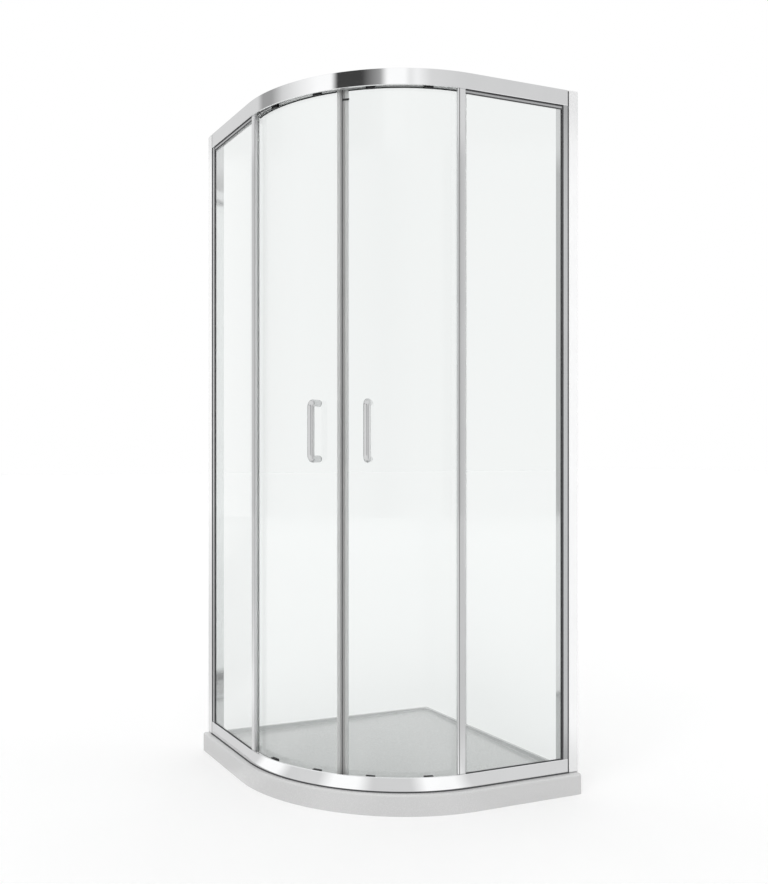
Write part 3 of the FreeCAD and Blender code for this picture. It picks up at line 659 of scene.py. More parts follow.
# --- tray
@dataclass
class ShowerTray:
    """The low tray with its falling basin, and the cover over its waste."""

    radius: float = 470 * MM
    edge_round: float = 6 * MM
    corner: float = 8 * MM
    arc_steps: int = 64
    basin_inset: float = 52 * MM
    basin_wall: float = 388 * MM
    basin_corner: float = 30 * MM
    lip_round: float = 2 * MM
    floor_round: float = 3.5 * MM
    wall_under: float = 1 * MM
    fall: float = 13 * MM
    over: float = 20 * MM
    waste: Vector = field(default_factory=lambda: Vector((-181.83, -181.83, 35.0)) * MM)
    wells: Table = (
        (25 * MM, -5 * MM, Z.tray_top), (42.1 * MM, 31 * MM, Z.tray_top), (65 * MM, -5 * MM, 22 * MM),
    )
    dome: Table = metres((0, 40.5), (34.8, 40.5), (36, 41.4), (36, 41.9), (35, 42.8), (32.8, 43),
                         (21.6, 43.35), (0, 43.5))
    fins: Table = metres((28, 35.5, 40.9), (19.7, 23.5, 35.6))
    fin_half: float = 1.5 * MM
    fin_start: float = 1 * MM

    def plan(self, high: float, centre: float, radius: float) -> list[Vector]:
        """A square in plan with a quarter-round front corner.

        Args:
            high: The wall sides' place along X and Y.
            centre: The quarter round's centre along X and Y.
            radius: The quarter round's radius.

        Returns:
            The corners, in order, the three plain ones last.
        """
        low = centre - radius
        turns = (math.radians(180 + 90 * step / self.arc_steps) for step in range(self.arc_steps + 1))
        arc = [(centre + radius * math.cos(turn), centre + radius * math.sin(turn)) for turn in turns]
        return [Vector((x, y, 0.0)) for x, y in arc + [(high, low), (high, high), (low, high)]]

    def basin(self) -> Workpiece:
        """The basin's hollow, above a floor that falls towards the waste."""
        plan = self.plan(self.basin_wall, LINE.centre, LINE.radius - self.basin_inset)
        hollow = Workpiece("basin_tool", plan, (range(-3, 0), self.basin_corner, 8))
        hollow.pull(z=Z.tray_top + self.over)
        run = (self.basin_wall - self.waste.x) * math.sqrt(2.0)
        rise = (ACROSS + ALONG).normalized() * run + UP * self.fall
        normal = (ACROSS - ALONG).normalized().cross(rise).normalized()
        bpy.ops.mesh.select_all(action="SELECT")
        bpy.ops.mesh.bisect(plane_co=self.waste, plane_no=normal, use_fill=True, clear_inner=normal.z > 0,
                            clear_outer=normal.z < 0)
        top = Z.tray_top - self.lip_round
        return hollow.round_edges(self.floor_round, 4, lambda vertex: vertex.co.z < top
                                  and abs((vertex.co - self.waste).dot(normal)) < 10 * TINY)

    def tray(self) -> Piece:
        """The tray with its rounded edges, its basin and the waste's wells."""
        plan = self.plan(LINE.wall, self.radius - LINE.wall, self.radius)
        tray = Workpiece("tray", plan, (range(-3, 0), self.corner, 6)).pull(z=Z.tray_top)
        lip = Z.tray_top - TINY
        tray.round_edges(self.edge_round, 6, lambda vertex: vertex.co.z > lip).cut(self.basin())
        wall = Z.tray_top - self.wall_under
        tray.round_edges(self.lip_round, 3, lambda vertex: vertex.co.z > lip, lambda edge: any(
            abs(face.normal.z) < WALL_LIKE and face.calc_center_median().z < wall
            for face in edge.link_faces))
        for radius, low, high in self.wells:
            foot = self.waste.xy.to_3d() + UP * low
            tray.cut(Workpiece("round_tool", ring(foot, radius, 64, ACROSS, ALONG)).pull(z=high - low))
        return tray.finish(30.0)

    def cover(self) -> Piece:
        """The domed cover on its three fins."""
        base = self.waste.xy.to_3d()
        corners = [base + Vector((radius, 0.0, height)) for radius, height in self.dome]
        cover = Workpiece("waste_cover_plate", corners).lathe(base, UP, 64)
        half, start = self.fin_half, self.fin_start
        for turn in (Matrix.Rotation(math.tau * i / 3, 3, "Z") for i in range(3)):
            for reach, foot, top in self.fins:
                plan = ((start, -half), (reach, -half), (reach, half), (start, half))
                cover.lay([base + turn @ Vector((x, y, foot)) for x, y in plan]).pull(z=top - foot)
        return cover.finish(40.0)

    def build(self) -> None:
        """Model, dress and place the tray and the cover."""
        place(dress(self.tray(), TRAY_WHITE), "enclosure", "tray_white", "shower_tray")
        place(dress(self.cover(), CHROME), "enclosure", "chrome_trim", "waste_cover")


# --- rails
@dataclass
class BentRail:
    """A rail: its section swept round the frame, and a plainer section at each end."""

    name: str
    node: str
    section: Plan
    end_section: Plan
    round_heights: tuple[float, ...]
    inside: Metal
    start: float = 34 * MM
    clear: float = 46.3 * MM
    end_lap: float = 0.02 * MM
    outer_round: float = 1 * MM
    ease: float = 0.25 * MM

    def rounds(self, section: Plan) -> list[Rounds]:
        """A section's roundings, which are larger at its outer corners."""
        outer = [i for i, row in enumerate(section) if row[0] == 0.0 and row[1] in self.round_heights]
        rest = [i for i in range(len(section)) if i not in outer]
        return [(outer, self.outer_round, 5), (rest, self.ease, 1)]

    def build(self) -> None:
        """Model, dress and place the rail."""
        rail = Workpiece(self.name, LINE.section(self.section, self.clear), *self.rounds(self.section))
        rail.follow(LINE.wall - self.clear - LINE.centre)
        end = self.clear - self.start + self.end_lap
        corners, rounds = LINE.section(self.end_section, self.start), self.rounds(self.end_section)
        rail.lay(corners, *rounds).pull(y=-end)
        rail.lay([SWAP_SIDES @ corner for corner in corners], *rounds).pull(x=-end)
        # The inside faces take the rail's inside finish: painted shade on the sill rail, a mill finish on the
        # head rail.
        piece = dress(rail.finish(32.0), POLISHED, (self.inside, self.is_inside))
        place(piece, "enclosure", "chrome_profile", self.node)

    def is_inside(self, face: Face) -> bool:
        """Whether a face lies inside the rail, where the sill rail gets a dark metal as painted shade and the
        head rail a less metallic mill finish.
        """
        return (D.slot_outer - CLOSE < LINE.depth(face.center) < D.inner_wall + CLOSE
                and Z.frame_bottom + CLOSE < face.center.z < Z.frame_top - CLOSE)


def top_rail() -> BentRail:
    """The head rail: fascia, glazing slot, and the channel with two lips for the wheels."""
    foot, web, under, over, roof, top = (Z.head_fascia, Z.head_web, Z.track_low, Z.track_high, Z.roof,
                                         Z.frame_top)
    near, far, skin, wall = D.track_outer, D.track_inner, D.skin, D.inner_wall
    section = [
        (0.0, foot), (D.slot_outer, foot), (D.slot_outer, foot + skin), (skin, foot + skin), (skin, roof),
        (D.slot_inner, roof), (D.slot_inner, web), (D.web, web), (D.web, under), (near, under), (near, over),
        (D.web, over), (D.web, roof), (wall, roof), (wall, over), (far, over), (far, under), (wall, under),
        (wall, web), (D.rail, web), (D.rail, top), (0.0, top),
    ]
    ends = [(0.0, foot), (skin, foot), (skin, roof), (wall, roof), *section[-4:]]
    return BentRail("head_rail", "top_rail", section, ends, (foot, top), MILL_METAL)


def bottom_rail() -> BentRail:
    """The sill rail: fascia, glazing slot, roller floor and a low inner lip."""
    foot, floor, web, top = Z.frame_bottom, Z.rail_floor, Z.sill_web, Z.sill_fascia
    skin, wall = D.skin, D.inner_wall
    back = [(0.0, foot), (D.rail, foot), (D.rail, Z.sill_lip), (wall, Z.sill_lip), (wall, floor)]
    section = [
        *back, (D.web, floor), (D.web, web), (D.slot_inner, web), (D.slot_inner, floor), (skin, floor),
        (skin, top - skin), (D.slot_outer, top - skin), (D.slot_outer, top), (0.0, top),
    ]
    ends = [*back, (skin, floor), (skin, top), (0.0, top)]
    # Its inside faces are painted dark, as shade inside the channel.
    return BentRail("sill_rail", "bottom_rail", section, ends, (top,), PAINTED_SHADE_METAL)


@dataclass
class RailStrips:
    """Dark strips along the rails: the tray seal's bead and the lip on the head rail's inner wall."""

    reach: float = 30.5 * MM
    proud: float = 1.8 * MM
    under: float = 0.2 * MM
    rise: float = 3.4 * MM
    lip_run: float = 2 * MM
    lip_inset: float = 0.3 * MM
    lip_width: float = 1.4 * MM
    lip_round: float = 0.6 * MM
    nose: float = 0.5 * MM

    def strip(self, name: str, section: Plan, run: float) -> None:
        """Sweep a section round the frame, with a run on each straight, and place it."""
        strip = Workpiece(name, LINE.section(section, LINE.wall - LINE.centre - run), ((3, 4), self.nose, 3))
        place(dress(strip.follow(run).finish(40.0), RUBBER), "enclosure", "grey_gasket")

    def build(self) -> None:
        """Build both strips."""
        low, high, out = Z.tray_top, Z.tray_top + self.rise, -self.proud
        self.strip("seal_bead", [(out, low), (self.under, low), (self.under, high), (0.4 * out, high),
                                 (out, (low + high) / 2)], LINE.wall - self.reach - LINE.centre)
        low, high, near = Z.head_web - self.rise, Z.head_web, D.inner_wall + self.lip_inset
        far = near + self.lip_width
        self.strip("head_inner_lip", [(near, high), (far, high), (far, low + self.lip_round), (far, low),
                                      (near, low)], self.lip_run)


# --- wall side of each fixed panel
@dataclass
class WallSide:
    """The wall profile, its cap and the frame jamb, at the left wall."""

    profile_reach: float = 30 * MM
    back: float = 2.5 * MM
    cap_reach: float = 33.7 * MM
    cap_edge: float = 0.9 * MM
    fit: float = 0.3 * MM
    jamb_back: float = 8 * MM
    jamb_reach: float = 46 * MM
    groove_back: float = 30.8 * MM
    edge: float = 1 * MM
    ease: float = 0.25 * MM
    bead_width: float = 2.6 * MM
    bead_edge: float = 0.5 * MM
    bead_side: float = 0.6 * MM
    screw_hole: float = 3.25 * MM
    drill_lead: float = 2 * MM
    screw_heights: tuple[float, ...] = (161.75 * MM, 701.75 * MM, 1241.75 * MM, 1781.75 * MM)

    def upright(self, name: str, plan: Plan, low: float, high: float, outer: int = 0) -> Workpiece:
        """An upright of one section, as depth and reach, with its first corners rounder."""
        rounds = ((range(outer), self.edge, 4), (range(outer, len(plan)), self.ease, 1))
        return Workpiece(name, LINE.plan(plan, low), *rounds).pull(z=high - low)

    def profile(self) -> Piece:
        """The U profile with its four wall screw holes."""
        reach, wall, skin = self.profile_reach, D.inner_wall, D.skin
        plan = [(0.0, reach), (0.0, 0.0), (D.rail, 0.0), (D.rail, reach), (wall, reach), (wall, self.back),
                (skin, self.back), (skin, reach)]
        profile = self.upright("wall_profile", plan, Z.frame_bottom, Z.profile_top)
        for height in self.screw_heights:
            start = LINE.straight(D.rail / 2, -self.drill_lead, height)
            hole = ring(start, self.screw_hole, 24, ACROSS, UP)
            profile.cut(Workpiece("screw_hole_tool", hole).pull(y=-3 * self.back))
        return profile.finish()

    def jamb(self) -> Piece:
        """The jamb with the groove that the glass stands in."""
        outer, inner, reach = D.skin + self.fit, D.inner_wall - self.fit, self.jamb_reach
        plan = [(outer, reach), (outer, self.jamb_back), (inner, self.jamb_back), (inner, reach),
                (D.slot_inner, reach), (D.slot_inner, self.groove_back), (D.slot_outer, self.groove_back),
                (D.slot_outer, reach)]
        return self.upright("frame_jamb", plan, Z.rail_floor, Z.profile_top, 4).finish()

    def cap(self) -> Piece:
        """The flat cap with eased edges."""
        plan = [(0.0, 0.0), (D.rail, 0.0), (D.rail, self.cap_reach), (0.0, self.cap_reach)]
        cap = self.upright("profile_cap", plan, Z.profile_top, Z.frame_top)
        return cap.round_edges(self.cap_edge, 4, lambda vertex: vertex.co.z > Z.frame_top - TINY).finish()

    def bead(self) -> Piece:
        """The thin dark bead in the corner between the wall profile and the jamb."""
        near, far = self.profile_reach, self.profile_reach + self.bead_width
        outer, inner = self.bead_edge, D.skin + self.fit
        plan = [(outer, near), (outer, near + self.bead_side), (inner, far), (inner, near)]
        bead = Workpiece("bead", LINE.plan(plan, Z.rail_floor), ((1,), self.bead_edge, 3))
        return bead.pull(z=Z.profile_top - self.bead_edge - Z.rail_floor).finish()

    def build(self) -> None:
        """Model, dress and place the pieces of each side."""
        for piece, base, slot, finish in (
            (self.profile(), "wall_profile", "chrome_profile", PALE_UPRIGHT),
            # the jamb's darker colour is painted shade for its set-back face
            (self.jamb(), "frame_jamb", "chrome_profile", DARK_BRUSHED_UPRIGHT),
            (self.cap(), "profile_cap", "grey_cap", PALE_CAP),
        ):
            dress(piece, finish, (UPRIGHT_POLISHED, lambda face: LINE.depth(face.center) > D.slot_outer
                                  and face.center.z < Z.profile_top))
            place_pair(piece, f"{base}_skin", None, slot, base)
        place_pair(dress(self.bead(), RUBBER), "jamb_bead", None, "grey_gasket")


# --- fixed panel
@dataclass
class FixedPanel:
    """The fixed pane, the post that edges it and the strips at its head and foot."""

    glass_reach: float = 32 * MM
    glass_past: float = 24 * MM
    arris: float = 0.6 * MM
    post_from: float = 15 * MM
    post_to: float = 38 * MM
    outer_bends: tuple[float, ...] = (21 * MM, 26 * MM)
    inner_bends: tuple[float, ...] = (32 * MM, 26 * MM, 20 * MM)
    clip_gap: float = 0.3 * MM
    nose: float = 0.7 * MM
    groove_at: float = 32.5 * MM
    groove: float = 2.0 * MM
    groove_depth: float = 0.8 * MM
    strip_reach: float = 46.2 * MM
    strip_gaps: tuple[float, float] = (0.1 * MM, 0.05 * MM)
    strip_lap: float = 1 * MM
    strip_round: float = 0.2 * MM
    lip_proud: float = 2.6 * MM
    head_gap: float = 3.6 * MM
    bead: float = 8.4 * MM

    def sweep(self, piece: Workpiece, reach: float, past: float, steps: int) -> Piece:
        """Sweep a section from its reach along the panel and past the tangent, in steps."""
        piece.pull(y=LINE.centre - LINE.wall + reach)
        return piece.swing(LINE.axis, UP, LINE.past_tangent(past) - 180.0, steps).finish(25.0)

    def pane(self) -> Piece:
        """The pane, straight and then just round the start of the arc."""
        low, high = Z.fixed_glass_low, Z.fixed_glass_high
        section = [(D.glass_outer, low), (D.glass_inner, low), (D.glass_inner, high), (D.glass_outer, high)]
        pane = Workpiece("fixed_pane", LINE.section(section, self.glass_reach), (range(4), self.arris, 1))
        return self.sweep(pane, self.glass_reach, self.glass_past, 5)

    def strip(self, name: str, low: float, high: float) -> Piece:
        """A thin strip against the pane's outer side, between two heights."""
        near, far = D.slot_outer + self.strip_gaps[0], D.glass_outer - self.strip_gaps[1]
        section = [(near, low), (far, low), (far, high), (near, high)]
        strip = Workpiece(name, LINE.section(section, self.strip_reach), (range(4), self.strip_round, 2))
        return self.sweep(strip, self.strip_reach, self.post_from, 4)

    def post(self) -> Piece:
        """The post: a clip over the glass and a nose, with a groove between."""
        near, far = self.groove_at - self.groove / 2, self.groove_at + self.groove / 2
        floor, start, end = D.slot_outer + self.groove_depth, self.post_from, self.post_to
        clip = self.glass_past + self.clip_gap
        plan = [
            *((past, D.slot_outer) for past in (start, *self.outer_bends, near)), (near, floor), (far, floor),
            (far, D.slot_outer), (end, D.slot_outer),
            *((past, D.slot_inner) for past in (end, *self.inner_bends, start)),
            (start, D.glass_inner), (clip, D.glass_inner), (clip, D.glass_outer), (start, D.glass_outer),
        ]
        corners = LINE.bent([(LINE.past_tangent(past), depth) for past, depth in plan], Z.rail_floor)
        post = Workpiece("fixed_post", corners, ((0, 3, 6, 7, 8, 12), self.nose, 3))
        piece = post.pull(z=Z.fixed_glass_high - Z.rail_floor).finish(40.0)
        return dress(piece, UPRIGHT_POLISHED, (SATIN_EDGE, is_edge),
                     # the groove floor is painted dark, as shade in the recess
                     (PAINTED_SHADE_METAL, lambda face: abs(LINE.depth(face.center) - floor) < CLOSE))

    def build(self) -> None:
        """Model, dress and place the pane, the post and the strips of each side."""
        place_pair(dress(self.pane(), GLASS, (GLASS_EDGE, is_edge)), "fixed_pane", None, "clear_glass",
                   "fixed_glass")
        place_pair(self.post(), "edge_post", None, "chrome_profile", "fixed_post")
        foot, head = Z.sill_fascia, Z.head_fascia
        for base, low, high, slot, finish in (
            ("foot_lip", foot - self.strip_lap, foot + self.lip_proud, "grey_gasket", RUBBER),
            # a dark rubber strip under the head fascia that paints the shadow in the gap there
            ("head_gap_strip", head - self.head_gap, head + self.strip_lap, "grey_gasket", RUBBER),
            ("head_bead", head - self.bead, head - self.head_gap, "chrome_profile", DARK_BRUSHED_UPRIGHT),
            ("head_lip", head - self.bead - self.head_gap, head - self.bead, "grey_gasket", RUBBER),
        ):
            place_pair(dress(self.strip(base, low, high), finish), base, None, slot)


# --- door
@dataclass
class DoorHandle:
    """The round D handle, bent from one bar."""

    bar: float = 9.5 * MM
    bend: float = 11 * MM
    bend_steps: int = 14
    foot_round: float = 0.6 * MM
    foot_depth: float = 21.85 * MM
    stand_off: float = 15 * MM
    low: float = 899.5 * MM
    high: float = 1044.5 * MM
    angle: float = 215.5
    sides: int = 40

    def build(self) -> None:
        """Model, dress and place the handle of each door, made on the +X line."""
        foot = LINE.axis + ACROSS * (LINE.radius - self.foot_depth)
        leg = self.foot_depth + self.stand_off - self.bend
        turn_point = foot + ACROSS * leg
        handle = Workpiece("handle", ring(foot + UP * self.low, self.bar, self.sides, ALONG, UP)).pull(x=leg)
        handle.swing(turn_point + UP * (self.low + self.bend), -ALONG, 90.0, self.bend_steps)
        handle.pull(z=self.high - self.low - 2 * self.bend)
        handle.swing(turn_point + UP * (self.high - self.bend), -ALONG, 90.0, self.bend_steps).pull(x=-leg)
        handle.round_edges(self.foot_round, 3, lambda vertex: vertex.co.x < foot.x + TINY)
        piece = dress(handle.finish(40.0), SATIN_CHROME)
        piece.data.transform(LINE.turned(self.angle))
        place_pair(piece, "bent_handle", "door", "chrome_trim", "handle")


@dataclass
class CurvedDoor:
    """The bent pane with its closing seal and its rear seal."""

    rear_past: float = 12 * MM
    front_gap: float = 7 * MM
    bend_steps: int = 48
    arris: float = 0.6 * MM
    hole: float = 4.5 * MM
    drill: float = 13 * MM
    drill_lead: float = 4 * MM
    handle: DoorHandle = field(default_factory=DoorHandle)
    seal_trim: float = 2 * MM
    seal_grip: float = 2.6 * MM
    closing_gap: float = 0.15 * MM
    closing_width: float = 16 * MM
    closing_half: float = 4.5 * MM
    closing_lip: float = 3.4 * MM
    closing_root: float = 7.6 * MM
    closing_round: float = 1.2 * MM
    dark_nose: float = 1.7 * MM
    rear_nose: float = 8 * MM
    rear_fin: float = 9.5 * MM
    rear_lips: float = 20 * MM
    rear_half: float = 4 * MM
    rear_lip: float = 3.1 * MM
    rear_edge: float = 11.9 * MM
    rear_tip: float = 13.2 * MM
    rear_round: float = 0.6 * MM
    clip_width: float = 19 * MM
    clip_height: float = 1822.5 * MM
    clip_rise: float = 5.5 * MM
    clip_ease: float = 0.25 * MM
    clip_offs: tuple[float, ...] = (5.1 * MM, 4.1 * MM, 3.3 * MM, 4.2 * MM)

    def pane(self) -> Piece:
        """The bent pane with its two handle holes."""
        rear, low, high = LINE.past_tangent(self.rear_past), Z.door_glass_low, Z.door_glass_high
        corners = [LINE.arc(depth, rear, height) for depth, height in (
            (D.door_outer, low), (D.door_inner, low), (D.door_inner, high), (D.door_outer, high))]
        pane = Workpiece("door_pane", corners, (range(4), self.arris, 1))
        pane.swing(LINE.axis, UP, LINE.before_middle(self.front_gap) - rear, self.bend_steps)
        turn = LINE.turned(self.handle.angle)
        start = LINE.axis + ACROSS * (LINE.radius - D.door_inner - self.drill_lead)
        for height in (self.handle.low, self.handle.high):
            hole = ring(start + UP * height, self.hole, 32, ALONG, UP)
            tool = Workpiece("handle_hole_tool", [turn @ corner for corner in hole])
            pane.cut(tool.pull(*(turn.to_3x3() @ ACROSS * self.drill)))
        return pane.finish(25.0)

    @staticmethod
    def mirrored(half: Plan) -> Plan:
        """Both halves of a section, from one as degrees and distance from the door's line."""
        outer = [(angle, D.door_line - off) for angle, off in half]
        return outer + [(angle, D.door_line + off) for angle, off in reversed(half)]

    def strip(self, name: str, plan: Plan, soft: Sequence[int], radius: float) -> Piece:
        """An upright seal, from its section as degrees and depth, with some corners rounded."""
        low, high = Z.door_glass_low + self.seal_trim, Z.door_glass_high - self.seal_trim
        return Workpiece(name, LINE.bent(plan, low), (soft, radius, 3)).pull(z=high - low).finish(40.0)

    def closing_seal(self) -> Piece:
        """The seal on the front edge, with tapered lips over the glass and a square nose."""
        near, root, lips, edge = map(LINE.before_middle, (
            self.closing_gap, self.closing_root, self.closing_width, self.front_gap))
        half = [(near, self.closing_half), (root, self.closing_half), (lips, self.closing_lip),
                (lips, self.seal_grip), (edge, self.seal_grip)]
        return self.strip("closing_seal", self.mirrored(half), (0, 9), self.closing_round)

    def rear_seal(self) -> Piece:
        """The seal on the rear edge, with a fin towards the post."""
        nose, fin, edge, lips = map(LINE.past_tangent, (
            self.rear_nose, self.rear_fin, self.rear_edge, self.rear_lips))
        half = [(lips, self.rear_lip), (lips, self.seal_grip), (edge, self.seal_grip)]
        plan = [(nose, self.rear_tip), (fin, self.rear_tip), (fin, D.door_line - self.rear_half),
                *self.mirrored(half), (nose, D.door_line + self.rear_half)]
        return self.strip("rear_seal", plan, (0, 1, 9), self.rear_round)

    def seal_clip(self) -> Piece:
        """The small dark clip that holds the top of the right door's closing seal."""
        first, last = (450.0 - LINE.before_middle(gap) for gap in (self.closing_gap, self.clip_width))
        plan = [(angle, D.door_line - off) for angle, off in zip((first, last, last, first), self.clip_offs)]
        clip = Workpiece("right_seal_clip", LINE.bent(plan, self.clip_height)).pull(z=self.clip_rise)
        return clip.ease(self.clip_ease).finish()

    def is_nose(self, face: Face) -> bool:
        """Whether a face of the closing seal lies in its dark nose."""
        away = face.center - LINE.axis
        angle = math.degrees(math.atan2(away.y, away.x)) % 360.0
        return angle > LINE.before_middle(self.closing_gap + self.dark_nose)

    def build(self) -> None:
        """Model, dress and place the pane and the seals of each door."""
        place_pair(dress(self.pane(), GLASS, (GLASS_EDGE, is_edge)), "door_pane", "door", "clear_glass",
                   "door_glass")
        closing = dress(self.closing_seal(), SEAL, (DARK_NOSE, self.is_nose))
        for seal, base in ((closing, "closing_seal"), (dress(self.rear_seal(), SEAL), "rear_seal")):
            place_pair(seal, f"{base}_skin", "door", "clear_seal", base)
        place(dress(self.seal_clip(), BLACK_NYLON), "right_door", "black_carrier")


# --- rollers
@dataclass
class Roller:
    """A clamp on the pane's edge and its two wheels, made on the +X line and copied to each place."""

    width: float = 24 * MM
    clamp_round: float = 1 * MM
    clamp_ease: float = 0.35 * MM
    neck_width: float = 12 * MM
    neck_half: float = 1.2 * MM
    neck_round: float = 0.4 * MM
    neck_past: float = 4.5 * MM
    jaw: float = 5.5 * MM
    slot: float = 2.6 * MM
    wheel: Table = metres((2, 2.55), (2, 7.161), (2.6, 7.7), (7.6, 7.7), (8.2, 7.161), (8.2, 6.006),
                          (7.4, 5.544), (7.4, 3.85), (8.2, 3.388), (8.2, 2.55))

    def _point(self, out: float, across: float, height: float) -> Vector:
        """A point near the door's line on the +X line, by its distance outwards from that line."""
        return LINE.axis + Vector((LINE.radius - D.door_line + out, across, height))

    def carrier(self, level: Level) -> Piece:
        """The clamp for the top or the bottom edge of a pane."""
        lips, edge, bridge, axle = level.value
        jaw, slot = self.jaw, self.slot
        plan = [(-jaw, lips), (-slot, lips), (-slot, edge), (slot, edge), (slot, lips), (jaw, lips),
                (jaw, bridge), (-jaw, bridge)]
        corners = [self._point(out, -self.width / 2, height) for out, height in plan]
        body = Workpiece("carrier", corners, ((0, 5, 6, 7), self.clamp_round, 3)).pull(y=self.width)
        body.ease(self.clamp_ease, sharp=50.0)
        root = (bridge + edge) / 2
        neck = [self._point(self.neck_half * a, self.neck_width / 2 * b, root)
                for a, b in ((-1, -1), (1, -1), (1, 1), (-1, 1))]
        past = math.copysign(self.neck_past, axle - bridge)
        return body.lay(neck, (range(4), self.neck_round, 2)).pull(z=axle + past - root).finish(40.0)

    def wheels(self, level: Level) -> Piece:
        """The pair of wheels, each with a crowned tread and a dished side."""
        centre = self._point(0.0, 0.0, level.value[-1])
        one, other = ([centre + Vector((way * out, 0.0, high)) for out, high in self.wheel]
                      for way in (-1, 1))
        return Workpiece("wheels", one).lay(other).lathe(centre, ACROSS, 40).finish()

    def build(self) -> None:
        """Model each kind once, and copy it to the eight places."""
        for level in Level:
            carrier = dress(self.carrier(level), BLACK_NYLON)
            wheels = dress(self.wheels(level), WHITE_ACETAL)
            for spot in Place:
                base = f"{level.name}_{spot.name}".lower()
                turn = LINE.turned(spot.value)
                for pattern, form, moving, slot, node in (
                    (carrier, "clamp", "door", "black_carrier", "carrier"),
                    (wheels, "wheel_pair", f"{base}_roller", "white_wheel", "wheels"),
                ):
                    place_pair(twin(pattern, node, turn), f"{base}_{form}", moving, slot, f"{base}_{node}")
            for pattern in (carrier, wheels):
                bpy.data.objects.remove(pattern)


# --- pieces kept from the solid model
@dataclass
class KeptPieces:
    """The solid model's own pieces that only get a finish."""

    finishes: dict[str, Finish] = field(default_factory=lambda: {
        "waste_body": GREY_CAP, "waste_seals": RUBBER, "waste_locknut": GREY_CAP, "tray_seal": RUBBER,
        "jamb_screws": STEEL, "rail_screws": STEEL, "door_stops": RUBBER, "glazing_gasket": RUBBER,
        "seal_magnet": DARK_MAGNET, "handle_washers": WASHER, "handle_screws": CHROME,
        "roller_axles": STEEL, "clamp_screws": STEEL,
    })

    def build(self) -> None:
        """Dress the kept nodes."""
        for name, node in sorted(frame["nodes"].items()):
            finish = self.finishes.get(name.removeprefix("left_").removeprefix("right_"))
            if finish:
                for slot in node.material_slots:
                    slot.material = material_of(finish)
                LOG.info("%s: kept, dressed in %s", name, finish.name)


